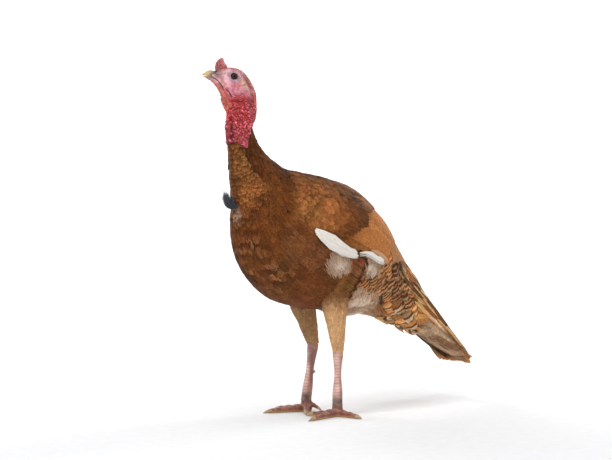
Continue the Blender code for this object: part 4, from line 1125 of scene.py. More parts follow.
def wing_coverts(name, side, material, rng):
    """The small overlapping feathers that cover the arm of the wing."""
    def inside(s, angle):
        a = from_back(angle)
        on_arm = (a > 20 + 8 * np.clip(s - 6.6, 0, 3)) & (a < 84 - 16 * np.clip(6.4 - s, 0, 3))
        return on_arm & (np.sign(np.sin(angle)) == side)

    s, angle = scatter(rng, 5.30, 8.2, larger_below(0.0062, 0.0026, 5.6, 7.4), inside)
    count = len(s)
    lower = fall(s, 5.6, 7.4)
    long = (0.021 + 0.013 * lower) * rng.uniform(0.88, 1.12, count)
    wide = (0.0066 + 0.0034 * lower) * rng.uniform(0.9, 1.1, count)
    within = fall(s, 6.9, 8.0) * between(from_back(angle), 20, 36, 74, 86)
    heading = np.sign(np.sin(angle)) * 8 + rng.normal(0, 6, count)
    height = 0.0009 + 0.0042 * within + rng.normal(0, 0.0005, count)
    spine, normals, shown = march(s, angle, long, heading, -0.0020, height, 0.0006)
    border = fall(s + rng.normal(0, 0.15, count), 5.40, 6.30)
    ground = washed(coat_colour(*shown), ((0.085, 0.032, 0.013), border * rng.uniform(0.2, 0.75, count)))
    tint = patterned(rng, count, ground, root=DARK_CHESTNUT, spread=0.08)
    # Paler towards the tip, then a thin dark line at the very rim: the pale fringe, with painted shadow along
    # the tip's edge.
    tint = tint * (1 + 0.12 * ramp(VANE_RIM, 0.72, 0.86) - 0.22 * ramp(VANE_RIM, 0.93, 1.0))[..., None]
    return lay_vanes("wing_coverts_" + name, material, spine, normals, wide, tint, bake_place(s, angle), rng)


def white_primaries(name, side, material, rng):
    """The pale outer flight feathers along the lower edge of the folded wing, each over two more."""
    plans = [
        # stations and degrees along the vane, shares of its half width from root to tip, half width, colour
        ([(7.06, 81), (6.75, 84), (6.3, 88.5), (5.75, 93), (5.28, 95)],
         [0.26, 0.86, 1.0, 0.95, 0.80, 0.55, 0.32, 0.16], 0.0150, WHITE),
        ([(5.22, 93.5), (4.85, 90.5), (4.40, 91), (4.00, 89)],
         [0.20, 0.40, 0.85, 0.60, 1.00, 0.55, 0.80, 0.25], 0.0056, WHITE),
        ([(4.75, 88), (4.35, 86), (4.00, 86), (3.75, 86)],
         [0.20, 0.60, 0.9, 1.0, 0.85, 0.6, 0.35, 0.12], 0.0050, (0.62, 0.34, 0.18)),
    ]
    paths, heights, shares, widths, colours = [], [], [], [], []
    for path, share, half_width, colour in plans:
        for layer in range(3):
            # Each layer under the first is narrower, and painted darker as painted shade under the layer
            # above.
            narrower_and_shaded = 1 - 0.12 * layer
            paths.append([(s - 0.03 * layer, (a + 1.3 * layer) * side) for s, a in path])
            heights.append([0.0085 - 0.0013 * layer] * 2)
            shares.append(share)
            widths.append(half_width * narrower_and_shaded)
            colours.append(np.array(colour) * narrower_and_shaded)
    tint = patterned(rng, len(paths), colours, spread=0.03)
    return strips_on_body("white_primaries_" + name, material, rng, paths, widths, heights, tint,
                          shares=shares, camber=0.16, fray=0.13, twist=3.0)


# The down

DOWN_REGIONS = [
    # station and degrees of the middle, half extents, count, colour, length, height, heading, half widths
    ((5.90, 102), (0.28, 4), 350, (0.72, 0.52, 0.38), 0.020, 0.0022, (30, 70), (0.0008, 0.0018)),
    ((5.90, 103), (0.34, 6), 1500, (0.90, 0.78, 0.64), 0.025, 0.0036, (40, 78), (0.0002, 0.0005)),
    ((6.12, 96), (0.30, 4), 400, (0.64, 0.44, 0.30), 0.018, 0.0032, (0, 50), (0.0002, 0.0005)),
    ((4.45, 97), (0.24, 4), 300, (0.78, 0.62, 0.48), 0.020, 0.0024, (0, 90), (0.0008, 0.0018)),
    ((4.45, 98), (0.30, 6), 1300, (0.88, 0.74, 0.59), 0.025, 0.0040, (40, 90), (0.0002, 0.0005)),
    ((3.95, 133), (0.62, 10), 900, (0.84, 0.66, 0.48), 0.034, 0.0028, (40, 75), (0.0010, 0.0022)),
    ((3.95, 136), (0.80, 12), 2800, (1.00, 0.86, 0.68), 0.042, 0.0050, (60, 84), (0.0003, 0.0007)),
    ((3.60, 163), (0.55, 14), 1300, (0.90, 0.75, 0.58), 0.036, 0.0110, (-20, 60), (0.0003, 0.0007)),
    ((3.80, 166), (0.6, 13), 700, (0.92, 0.76, 0.58), 0.032, 0.0150, (20, 80), (0.0003, 0.0007)),
    ((2.90, 158), (0.5, 18), 500, (0.54, 0.30, 0.15), 0.030, 0.0080, (-10, 50), (0.0004, 0.0010)),
    ((8.95, 148), (0.04, 0.5), 20, (0.46, 0.32, 0.22), 0.011, 0.0022, (-10, 10), (0.0002, 0.0005)),
    ((7.90, 136), (0.20, 5.0), 26, (0.34, 0.20, 0.12), 0.010, 0.0020, (-25, 25), (0.0002, 0.0005)),
]


def down_strands(rng):
    """For every strand its station, angle, colour, length, height, heading, half width and tuft."""
    strands, tufts_before = [], 0
    for side in (1, -1):
        for (ms, ma), (ds, da), count, tone, length, height, headings, widths in DOWN_REGIONS:
            tufts = max(3, count // 34)
            offset = np.clip(rng.normal(0, 0.62, (tufts, 2)), -1.15, 1.15)
            own = rng.integers(0, tufts, count)
            near = rng.normal(0, 0.0042, (count, 2))
            edge = ramp(np.linalg.norm(offset, axis=1), 0.30, 1.10)
            tones = np.array(tone) * np.exp(rng.normal(0, 0.10, (tufts, 1)))
            tones = tones * (1 - edge[:, None] * (0.34, 0.50, 0.58))
            strands.append([
                ms + ds * offset[own, 0] + near[:, 0] / 0.042,
                (np.radians(ma + da * offset[own, 1]) + near[:, 1] / 0.11) * side,
                tones[own],
                length * rng.uniform(0.7, 1.25, tufts)[own],
                height * rng.uniform(0.6, 1.2, tufts)[own],
                side * (rng.uniform(*headings, tufts)[own] + rng.normal(0, 9, count)),
                rng.uniform(*widths, count),
                tufts_before + own,
            ])
            tufts_before += tufts
    return [np.concatenate(values) for values in zip(*strands)]


def build_down(material):
    """Loose pale down below the wings, behind the thighs and round the vent, in strands drawn into tufts."""
    rng = np.random.default_rng(41)
    strands = down_strands(rng)
    for name, chosen in (("down_left", strands[1] > 0), ("down_right", strands[1] <= 0)):
        s, angle, colour, long, rise, turn, wide, tuft = [values[chosen] for values in strands]
        count = len(s)
        long = long * rng.uniform(0.6, 1.2, count)
        rise = rise + rng.normal(0, 0.0010, count)
        spine, normals, _ = march(s, angle, long, turn, -0.004, rise, 0.0015)
        total, members = np.zeros((tuft.max() + 1, *spine.shape[1:])), np.zeros(tuft.max() + 1)
        np.add.at(total, tuft, spine)
        np.add.at(members, tuft, 1)
        middle = (total / np.maximum(members, 1)[:, None, None])[tuft]
        spine = spine + (middle - spine) * (0.62 * VANE_T ** 1.5)[:, None]
        spine = spine + rng.normal(0, 0.0014, (count, 1, 3)) * (VANE_T ** 2)[:, None]
        tint = colour * np.exp(rng.normal(0, 0.10, (count, 1)))
        piece = lay_strands(name, material, spine, normals, wide, tint, bake_place(s, angle), rng)


# The tail

TAIL_ROOT = np.array([0.0, 0.272, 0.338])
TAIL_TIP = np.array([0.0, 0.480, 0.100])
TAIL_EDGE_ROOT = np.array([0.011, 0.2775, 0.3317])
TAIL_EDGE_TIP = np.array([0.060, 0.471, 0.1105])
TAIL_ARCH = 0.003
TAIL_PAIRS = 8
LAYER = 0.00085  # between one tail feather and the next under it
TAIL_TONES = np.array([(0.56, 0.24, 0.070), (0.24, 0.12, 0.055), (0.62, 0.38, 0.17)])
STRIPED = [(0.620, 0.290, 0.095), (0.540, 0.235, 0.075), (0.760, 0.540, 0.320), (0.740, 0.430, 0.190),
           (0.400, 0.165, 0.055), (0.075, 0.038, 0.020), (0.780, 0.620, 0.430)]
COVERT_KINDS = {
    # colours, how far out the outermost tips lie, how uneven the tips are, fray
    "upper": (STRIPED, 0.88, 0.014, 0.07),
    "lower": (STRIPED, 0.96, 0.014, 0.07),
    "soft": ([(0.270, 0.150, 0.082), (0.360, 0.205, 0.118), (0.540, 0.345, 0.205)], 1.06, 0.040, 0.20),
    "plain": ([(0.680, 0.330, 0.110), (0.500, 0.215, 0.068)], 0.84, 0.014, 0.07),
    "buff": ([(0.700, 0.360, 0.125), (0.300, 0.120, 0.040), (0.640, 0.400, 0.190), (0.160, 0.070, 0.032)],
             1.14, 0.014, 0.07),
}
COVERT_ROWS = [
    # kind, station, degrees round it, count, reach along the fan, height, half width, marks
    ("upper", 1.2, 56, 26, 0.74, 0.0050, 0.0070, (0.10, 0.2, 0.7)),
    ("upper", 1.3, 56, 30, 0.84, 0.0040, 0.0046, (0.10, 0.1, 0.7)),
    ("upper", 1.4, 57, 26, 0.62, 0.0070, 0.0070, (0.10, 0.3, 0.7)),
    ("upper", 1.6, 58, 26, 0.50, 0.0090, 0.0072, (0.10, 0.3, 0.7)),
    ("upper", 2.0, 60, 26, 0.38, 0.0125, 0.0075, (0.15, 0.3, 0.7)),
    ("upper", 2.4, 62, 26, 0.24, 0.0150, 0.0078, (0.15, 0.3, 0.6)),
    *[("soft", 0.30 + 0.05 * k, 58 + k, 24, 0.96 - 0.058 * k, 0.0040 + 0.0046 * k, 0.0085, (0.20, 0.25, 0.15))
      for k in range(6)],
    *[("lower", 1.0 + 0.10 * k, 106, 26, 0.88 - 0.08 * k, 0.0030 + 0.0030 * k, 0.0044, (0.10, 0.2, 0.7))
      for k in range(4)],
    *[("buff", 1.4 + 0.11 * k, 106, 18, 0.62 - 0.043 * k, 0.0140 + 0.0035 * k, 0.0085, (0.05 * k, 1.0, 0.5))
      for k in range(12)],
    *[("plain", 0.7 + 1.5 * t, 66 + 14 * t, 9, 0.65 - 0.45 * t, 0.030 + 0.039 * t, 0.016, (0.25 * t, 1.0, 0))
      for t in np.arange(9) / 8],
]


def fan_point(q, t):
    """Points of the sheet that the tail feathers lie on: q from -1 to 1 across it, t from 0 to 1 along it."""
    q, t = np.broadcast_arrays(np.asarray(q, float), np.asarray(t, float))
    share = (q * q)[..., None]
    root = TAIL_ROOT + (TAIL_EDGE_ROOT - TAIL_ROOT) * share
    tip = TAIL_TIP + (TAIL_EDGE_TIP - TAIL_TIP) * share
    root[..., 0], tip[..., 0] = TAIL_EDGE_ROOT[0] * q, TAIL_EDGE_TIP[0] * q
    bow = TAIL_ARCH * np.sin(math.pi * t)[..., None] * np.array([0, 0.76, 0.65])
    return root + (tip - root) * t[..., None] + bow - np.array([0, CENTRE_Y, 0])


def fan_normal(q, t):
    """The sheet's upper normal there."""
    across = fan_point(q + 0.04, t) - fan_point(q - 0.04, t)
    along = fan_point(q, t + 0.02) - fan_point(q, t - 0.02)
    return unit(np.cross(across, along))


def tail_feathers(material, rng):
    """The long feathers, stacked like a closed fan, the outermost pair lowest."""
    order = np.arange(2 * TAIL_PAIRS + 1)
    q = np.where(order % 2, 1, -1) * ((order + 1) // 2) / TAIL_PAIRS
    count, t = len(q), VANE_T[:, None]
    normal = fan_normal(0 * q, 0.5 + 0 * q)
    spine = fan_point(q[:, None], VANE_T) - ((LAYER * order)[:, None] * normal)[:, None]
    tint = washed(
        patterned(rng, count, TAIL_TONES[order % 3], spread=0.10),
        ((0.060, 0.030, 0.018), between(t, 0.76, 0.84, 0.90, 0.95) * 0.45),
        ((0.560, 0.240, 0.080), ramp(t, 0.90, 0.98)),
    )
    marks = np.stack([0.25 + 0 * q, 0 * q, np.where(order % 2, 0.45, 0.20)], -1)
    places = np.stack([0.02 + 0.01 * order, 0 * order + 0.5], -1)
    return lay_vanes(
        "tail_feathers", material, spine, np.broadcast_to(normal[:, None], spine.shape),
        np.full(count, 0.0165), tint, places, rng, camber=0.12, fray=0.05, twist=1.0,
        shares=[0.30, 0.52, 0.80, 0.97, 1.0, 0.80, 0.45, 0.14], marks=marks,
    )


def tail_coverts(number, material, rng):
    """One row of coverts, from the body's end to the fan."""
    kind, station, degrees, count, reach, height, half_width, marks = COVERT_ROWS[number]
    colours, outermost, uneven, fray = COVERT_KINDS[kind]
    q = np.linspace(-1, 1, count) + rng.normal(0, 0.03, count)
    if kind == "plain":
        q = q * 0.95 + (number % 2 - 0.5) / count
    if kind in ("lower", "buff"):
        q = np.sign(q) * (0.82 + 0.26 * np.abs(q))  # only the fan's two sides
    above = kind == "upper"
    angle = np.radians(q * degrees if above else 180 - q * degrees)
    root, _, _, root_out = body_frame(np.full(count, station), angle)
    root = root - root_out * 0.004
    away = fan_normal(0 * q, reach + 0 * q) * (1 if above else -1)
    ends = fan_point(q * outermost, np.minimum(reach + rng.normal(0, uneven, count), 0.965))
    ends = ends + away * height * (1 - 0.35 * q * q)[:, None]
    tip_out = unit(away + np.stack([0.9 * q, 0 * q, 0 * q], -1))
    t = VANE_T[:, None]
    out = unit(root_out[:, None] * (1 - t) + tip_out[:, None] * t)
    spine = root[:, None] + (ends - root)[:, None] * t + out * (0.004 * np.sin(math.pi * t))
    tint = patterned(rng, count, np.array(colours)[rng.integers(0, len(colours), count)], spread=0.14)
    if kind == "soft":
        outer = np.maximum(ramp(np.abs(q), 0.72, 0.95), ramp(reach, 0.88, 0.95))
        blotch = cloud(spine, 0.022, 9)[:, :, None]
        tint = washed(
            tint, ((0.520, 0.220, 0.075), (outer[:, None] * ramp(VANE_T, 0.86, 0.95))[..., None] * 0.85),
            ((0.150, 0.080, 0.042), ramp(-blotch, 0.0, 0.40) * 0.75),
            ((0.660, 0.480, 0.320), ramp(blotch, 0.05, 0.40) * 0.75),
        )
    wide = half_width * rng.uniform(0.9, 1.1, count)
    places = bake_place(np.full(count, station), angle)
    return lay_vanes("tail_coverts_%d" % number, material, spine, out, wide, tint, places, rng,
                     camber=0.16, fray=fray, broadest=0.62, marks=marks, twist=5.0)


def build_tail(material):
    """The tail: its long feathers, and rows of coverts over and under them."""
    rng = np.random.default_rng(51)
    made = [tail_feathers(material, rng)]
    made += [tail_coverts(number, material, rng) for number in range(len(COVERT_ROWS))]
    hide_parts("tail")


# Limbs


def round_grid(rows, columns, low=0.0, high=1.0):
    """Grids of a share along a tube, from low to high, and an angle round it."""
    return np.meshgrid(np.linspace(low, high, rows), np.arange(columns) * TURN / columns, indexing="ij")


class Limb:
    """A tube along a curve. Its points have a share of its length and an angle from its front side."""

    def __init__(self, path, radii, ahead, rows=60):
        self.path = curve(path, rows)
        self.radii = curve(radii, rows)
        self.rows = np.linspace(0, 1, rows)
        self.along = unit(np.gradient(self.path, axis=0))
        self.across = unit(np.cross(self.along, ahead))
        self.front = np.cross(self.across, self.along)
        self.length = np.linalg.norm(np.diff(self.path, axis=0), axis=1).sum()

    def take(self, values, t):
        """One of the limb's fields at shares of its length."""
        return np.stack([np.interp(t, self.rows, column) for column in values.T], -1)

    def at(self, t, angle, height=0.0):
        """Points with the tube's outward and lengthwise directions."""
        fields = (self.path, self.radii, self.along, self.front, self.across)
        centre, radii, along, front, across = [self.take(field, t) for field in fields]
        ahead, aside = front * np.cos(angle)[..., None], across * np.sin(angle)[..., None]
        out = unit(ahead * radii[..., :1] + aside * radii[..., 1:])
        point = centre + ahead * radii[..., 1:] + aside * radii[..., :1]
        return point + out * np.asarray(height)[..., None], out, along

    def shell(self, columns, rows=40):
        """A grid of points round the tube."""
        return self.at(*round_grid(rows, columns))[0]


def closed_tube(grid):
    """Points and quads of a grid round a tube, its ends closed by fans of quads to a middle point."""
    rows, columns = grid.shape[:2]
    points = np.concatenate([grid.reshape(-1, 3), [grid[0].mean(0), grid[-1].mean(0)]])
    caps = []
    for row, middle, order in ((0, rows * columns, 1), (rows - 1, rows * columns + 1, -1)):
        for c in range(0, columns, 2):
            ring = [row * columns + (c + k) % columns for k in range(3)]
            caps.append([middle, *ring[::-order]])
    return points, np.concatenate([grid_faces(rows, columns, closed=True), caps])


def with_ends(field):
    """A field of a tube's grid as one row, with the values of its two middle points added."""
    return np.concatenate([field.reshape(-1, field.shape[-1]), field[:1, 0], field[-1:, 0]])


def closed_piece(name, grid, material, tint, replaced=None, places=None, ends=None):
    """A closed tube. tint and places, on the unwrap, are given at each point of its grid."""
    colours = with_ends(tint)
    if ends is not None:
        colours[-2:] = ends
    points, faces = closed_tube(grid)
    made = mesh_object(name, points, faces, material, colours, None if places is None else with_ends(places))
    fit_normals(made)
    if replaced:
        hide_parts(replaced)


def warts_on(limb, rows, columns, rng, count, size, smallest):
    """A limb's grid, points and outward directions, and the lift, gap and numbers of warts laid by chance."""
    t, angle = round_grid(rows, columns)
    point, out, _ = limb.at(t, angle)
    spots = rng.uniform(0, 1, (count, 2)) * (1, TURN)
    centres = limb.at(spots[:, 0], spots[:, 1])[0]
    return t, angle, point, out, *raised(point, centres, size * rng.uniform(smallest, 1.4, count))


# The legs

# A toe is its degrees outward from straight ahead, its length and its claw's length.
LEGS = {
    "left": dict(side=1, hip=(0.071, -0.010, 0.341), bulge=(0.073, -0.008, 0.273),
                 hock=(0.062, 0.010, 0.166), ankle=(0.0575, 0.0115, 0.032), turn_out=14,
                 toes=dict(inner=(-33, 0.062, 0.017), middle=(14, 0.094, 0.022), outer=(101, 0.062, 0.019))),
    "right": dict(side=-1, hip=(-0.071, -0.003, 0.341), bulge=(-0.073, 0.002, 0.273),
                  hock=(-0.060, 0.0245, 0.172), ankle=(-0.0575, 0.0005, 0.032), turn_out=12,
                  toes=dict(inner=(-52, 0.060, 0.017), middle=(16, 0.096, 0.022), outer=(50, 0.070, 0.018))),
}
HIND_TOE = (-130, 0.030, 0.013)
SCUTES = 17
TOE_SCUTES = 11
SPUR_LENGTH = 0.009
THIGH_RADII = [
    (0.034, 0.046), (0.033, 0.043), (0.029, 0.036), (0.0235, 0.027), (0.0185, 0.0215), (0.0130, 0.0155),
]
THIGH_COAT = 0.006  # of the skin under the outline of the thigh
PAD_RADII = [(0.0118, 0.0126), (0.0128, 0.0138), (0.0152, 0.0162), (0.0128, 0.0138)]
THIGH_FEATHERS = 1500
GOLDEN_TURN = 2.39996  # radians, between one thigh feather and the next
FUSED_GRAIN = 0.0011  # of the surface that joins the parts of a leg


def heading_vector(side, degrees):
    """A level unit vector turned by degrees from straight ahead, outward from the bird."""
    angle = math.radians(degrees)
    return np.array([side * math.sin(angle), -math.cos(angle), 0.0])


def fused(parts):
    """One surface over overlapping closed tubes, as points, quads and the points' normals."""
    starts = np.cumsum([0] + [len(points) for points, _ in parts])
    every_point = np.concatenate([points for points, _ in parts])
    every_face = np.concatenate([faces + start for (_, faces), start in zip(parts, starts)])
    mesh = bpy.data.meshes.new("fused")
    mesh.from_pydata(every_point.tolist(), [], every_face.tolist())
    mesh.update()
    body = bpy.data.objects.new("fused", mesh)
    bpy.context.scene.collection.objects.link(body)
    remesh = body.modifiers.new("remesh", "REMESH")
    remesh.mode = "VOXEL"
    remesh.voxel_size = FUSED_GRAIN
    soften = body.modifiers.new("soften", "SMOOTH")
    soften.iterations = 3
    soften.factor = 0.5
    graph = bpy.context.evaluated_depsgraph_get()
    whole = body.evaluated_get(graph).to_mesh()
    fields = np.zeros((2, len(whole.vertices) * 3), np.float32)
    whole.vertices.foreach_get("co", fields[0])
    whole.vertices.foreach_get("normal", fields[1])
    quads = np.array([list(face.vertices) for face in whole.polygons if len(face.vertices) == 4])
    body.evaluated_get(graph).to_mesh_clear()
    bpy.data.objects.remove(body)
    bpy.data.meshes.remove(mesh)
    points, normals = fields.reshape(2, -1, 3).astype(float)
    return points, quads, normals


def plates(t, count):
    """The height of overlapping plates along a limb, 0 to 1, each highest just before its lower edge."""
    x = (t * count) % 1
    return (x ** 0.7) * fall(x, 0.90, 1.0)


def toe_limb(side, start, toe, lowered):
    """A toe as a limb with its front side up, its heading and its claw's length. A lowered one lies flat."""
    degrees, length, claw = toe
    heading = heading_vector(side, degrees)
    path, radii = [], []
    for t in np.linspace(0, 1, 14):
        knuckle = 1.0 + 0.07 * math.cos(t * 3 * TURN)
        upward, across = (0.0098 - 0.0040 * t) * knuckle, (0.0084 - 0.0028 * t) * knuckle
        centre = start + heading * (length * t)
        if lowered:
            centre[2] = upward - 0.0006 + max(0.0, 0.25 - t) * 0.012
        else:
            upward, across = upward * 0.70, across * 0.74
            centre[2] -= 0.0158 * t
        path.append(centre)
        radii.append((across, upward))
    return Limb(path, radii, UP, 48), heading, claw


def shank_limb(hock, ankle, ahead):
    """The shank, narrowest halfway."""
    path, radii = [], []
    for t in np.linspace(0, 1, 12):
        waist = 0.5 - 0.5 * math.cos(TURN * min(t * 1.15, 1))
        path.append(hock + (ankle - hock) * t)
        radii.append((0.0125 - 0.0007 * t - 0.0042 * waist, 0.0148 - 0.0022 * t - 0.0040 * waist))
    return Limb(path, radii, ahead, 80)


def scutes(points, shank, toes):
    """The lift of the scutes at points on a leg, and their tint."""
    gap, lift = np.full(len(points), 1e9), np.zeros(len(points))
    tint = np.tile((0.520, 0.270, 0.220), (len(points), 1))
    for limb, count, height in [(shank, SCUTES, 0.0011)] + [(toe, TOE_SCUTES, 0.0008) for toe in toes]:
        distance, share = along_curve(points, limb.path[::4])  # every fourth point is close enough
        centre, front, across = [limb.take(field, share) for field in (limb.path, limb.front, limb.across)]
        offset = points - centre
        angle = np.arctan2((offset * across).sum(-1), (offset * front).sum(-1))
        nearer = (distance < gap) & (share > 0.02) & (share < 0.995)
        on_front = fall(np.abs(angle), 0.95, 1.25)
        slant = share + 0.010 * np.abs(angle)
        rear = (1 - on_front) * (plates(share + 0.5 / count, count * 1.6) * 0.35)
        lift = np.where(nearer, height * (plates(slant, count) * on_front + rear), lift)
        x = (slant * count) % 1
        shade = 1 - 0.60 * (ramp(x, 0.84, 0.95) + fall(x, 0.0, 0.05)) * (0.35 + 0.65 * on_front)
        pale = washed(tint, ((0.800, 0.520, 0.440), on_front * 0.85)) * shade[:, None]
        tint = np.where(nearer[:, None], pale, tint)
        gap = np.where(nearer, distance, gap)
    return lift, tint


def leg_skin(name, side, material, parts, shank, toes, hock, ankle, ahead):
    """One skin over thigh, shank, foot and toes."""
    points, quads, normals = fused([closed_tube(part) for part in parts])
    lift, tint = scutes(points, shank, toes)
    z = points[:, 2]
    patches = cloud(points, 0.012, 63)
    foot, sole = fall(z, 0.024, 0.040), fall(z, 0.002, 0.008)
    above_hock = ramp(z, hock[2] + 0.004, hock[2] + 0.02)
    # Painted shade down the back of the shank, strongest on the far, right leg.
    behind = ramp(-(points - ankle) @ ahead, 0.003, 0.011) * ramp(z, 0.05, 0.08) * (1.0 if side < 0 else 0.35)
    ankle_patch = np.clip(bell(z, 0.038, 0.013) * (0.80 + 0.35 * patches), 0, 1)
    tint = washed(tint * (1 + 0.16 * patches)[:, None], ((0.120, 0.085, 0.068), ankle_patch))
    tint = washed(
        toned(tint, (0.56, 0.38, 0.33), foot),
        ((0.170, 0.075, 0.055), foot * np.clip(cloud(points, 0.007, 64) + 0.1, 0, 1) * 0.8),
        ((0.620, 0.350, 0.120), sole * 0.85),
        ((0.230, 0.110, 0.085), behind * 0.8),
        ((0.480, 0.270, 0.290), bell(z, hock[2] - 0.004, 0.010) * 0.6),
        ((0.300, 0.150, 0.060), above_hock),
    )
    points = points + normals * (lift * (1 - above_hock) * (1 - sole))[:, None]
    points[:, 2] = np.maximum(points[:, 2], 0.0002)
    up = 0.05 + 0.9 * np.clip(points[:, 2] / 0.4, 0, 1)
    places = np.stack([up, 0.5 + points[:, 1] + 0.3 * points[:, 0]], -1)
    made = mesh_object("skin_leg_" + name, points, quads, material, tint, places)
    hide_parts("thigh_" + name, "shank_" + name, "foot_" + name)


def claw_piece(name, toe_name, limb, heading, claw, horn):
    """A claw that leaves its toe's end and bends down."""
    rows, columns = 22, 24
    hind = toe_name == "hind"
    end, (across, upward) = limb.path[-1], limb.radii[-1] * 0.94
    direction, drop = (unit(limb.along[-1]), 0.30) if hind else (heading, 0.24)
    path, radii = [], []
    for t in np.linspace(-0.18, 1, 14):
        on = max(t, 0)
        path.append(end + direction * claw * t - UP * (claw * drop * on ** 2))
        radii.append((across * (1 - on ** 1.5 * 0.95), upward * (1 - on ** 1.3 * 0.93)))
    grid = Limb(path, radii, UP, rows).shell(columns, rows)
    grid[..., 2] = np.maximum(grid[..., 2], 0.0003)
    tint = mix((0.560, 0.380, 0.210), (0.420, 0.290, 0.180), round_grid(rows, columns)[0])
    closed_piece("horn_%s_%s" % (name, toe_name), grid, horn, tint, "claw_%s_%s" % (name, toe_name),
                 ends=(0.3, 0.2, 0.14))


def thigh_feathers(name, side, thigh, material):
    """Short feathers over the thigh, which hang over the hock."""
    rng = np.random.default_rng(61 if side > 0 else 62)
    count = THIGH_FEATHERS
    t = (np.arange(count) + 0.5) / count * 0.99
    turn = np.arange(count) * GOLDEN_TURN + rng.normal(0, 0.1, count)
    lower = ramp(t, 0.45, 1.0)
    long = (0.026 - 0.010 * lower) * rng.uniform(0.65, 1.30, count)
    sweep = rng.normal(0, 0.10, count)
    under = THIGH_COAT * (1 - 0.8 * ramp(t, 0.75, 1.0))
    spine, outs = [], []
    for r in VANE_T:
        u = t + r * long / thigh.length
        over = np.maximum(u - 1.0, 0) * (0.15 + 0.85 * ramp(np.cos(turn), -0.5, 0.3)) * thigh.length
        height = -under - 0.001 + (under + 0.0012) * r + over * 0.05
        point, out, along = thigh.at(np.clip(u, 0, 1.02), turn + sweep * r, height)
        spine.append(point + along * over[:, None])
        outs.append(out)
    # The right thigh, the far one, is painted darker: painted shade.
    ground = mix((0.260, 0.110, 0.040), TAN, ramp(t, 0.05, 0.40)) * (1.0 if side > 0 else 0.66)
    tint = patterned(rng, count, ground, root=(0.170, 0.080, 0.030), spread=0.11)
    wide = (0.0042 - 0.0014 * lower) * rng.uniform(0.85, 1.15, count)
    places = np.stack([0.05 + 0.9 * t, (turn / TURN) % 1], -1)
    made = lay_vanes("thigh_feathers_" + name, material, np.stack(spine, 1), np.stack(outs, 1), wide, tint,
                     places, rng, camber=0.3, fray=0.10, tip=0.8)


def build_leg(name, leg, skin, horn, feathers):
    """The thigh with its feathers, the shank with its scutes and spur, and the foot with its claws."""
    side, ahead = leg["side"], heading_vector(leg["side"], leg["turn_out"])
    hip, bulge, hock, ankle = [
        np.array(leg[key]) - np.array([0, CENTRE_Y, 0]) for key in ("hip", "bulge", "hock", "ankle")
    ]
    path = [hip, (hip + bulge) / 2, bulge, bulge + (hock - bulge) * 0.35, bulge + (hock - bulge) * 0.7, hock]
    depths = [(THIGH_COAT * k,) * 2 for k in (1, 1, 1, 1, 0.8, 0.2)]
    flesh = Limb(path, np.array(THIGH_RADII) - depths, ahead)
    shank = shank_limb(hock, ankle, ahead)
    at_height = lambda z: np.array([ankle[0], ankle[1], z])
    pad_path = [ankle + UP * 0.004, ankle - UP * 0.012, at_height(0.0125), at_height(0.0005)]
    pad = Limb(pad_path, PAD_RADII, ahead, 24)
    toes = {key: toe_limb(side, at_height(0.010), toe, True) for key, toe in leg["toes"].items()}
    toes["hind"] = toe_limb(side, at_height(0.026), HIND_TOE, False)
    toe_limbs = [limb for limb, _, _ in toes.values()]
    parts = [limb.shell(28) for limb in (flesh, shank, pad)] + [limb.shell(24) for limb in toe_limbs]
    leg_skin(name, side, skin, parts, shank, toe_limbs, hock, ankle, ahead)
    for toe_name, (limb, heading, claw) in toes.items():
        claw_piece(name, toe_name, limb, heading, claw, horn)
    back = unit(heading_vector(side, -150) - UP * 0.12)
    root = hock + (ankle - hock) * 0.50 + back * 0.003
    spur_radii = [(0.0060, 0.0075), (0.0056, 0.0066), (0.0044, 0.0048), (0.0012, 0.0012)]
    spur = Limb([root + back * SPUR_LENGTH * t for t in (0, 0.5, 0.9, 1.3)], spur_radii, UP, 16).shell(24, 16)
    closed_piece("spur_" + name, spur, horn, np.tile((0.420, 0.220, 0.150), (16, 24, 1)))
    thigh_feathers(name, side, Limb(path, THIGH_RADII, ahead), feathers)


# The head's pieces

MOUTH_ANGLE = 109  # degrees from the back, where the two halves of the bill meet
BILL_TIP = (-0.3380, 0.8450)
BILL_GAP = 0.00024
SNOOD_BASE = (-0.2885, 0.8560)
SNOOD_TIP = (-0.2870, 0.8860)
WATTLE_TOP = 14.9  # stations
WATTLE_STATIONS = 2.75


def build_eye(name, side, material):
    """An eyeball with its iris and pupil."""
    centre, outward, along, across, _ = eye_place(side)
    polar, angle = round_grid(40, 64, 0.02, math.pi - 0.02)
    aside = np.cos(angle)[..., None] * along + np.sin(angle)[..., None] * across
    out = np.cos(polar)[..., None] * outward + np.sin(polar)[..., None] * aside
    radius = EYE_RADIUS * (1 + 0.045 * bell(polar, 0, 0.50))
    tint = washed(
        np.tile((0.012, 0.008, 0.007), (*polar.shape, 1)),
        ((0.085, 0.035, 0.018), ramp(polar, 0.36, 0.42)), ((0.030, 0.014, 0.010), ramp(polar, 0.62, 0.74)),
    )
    closed_piece("eyeball_" + name, centre + out * radius[..., None], material, tint, "eye_" + name)


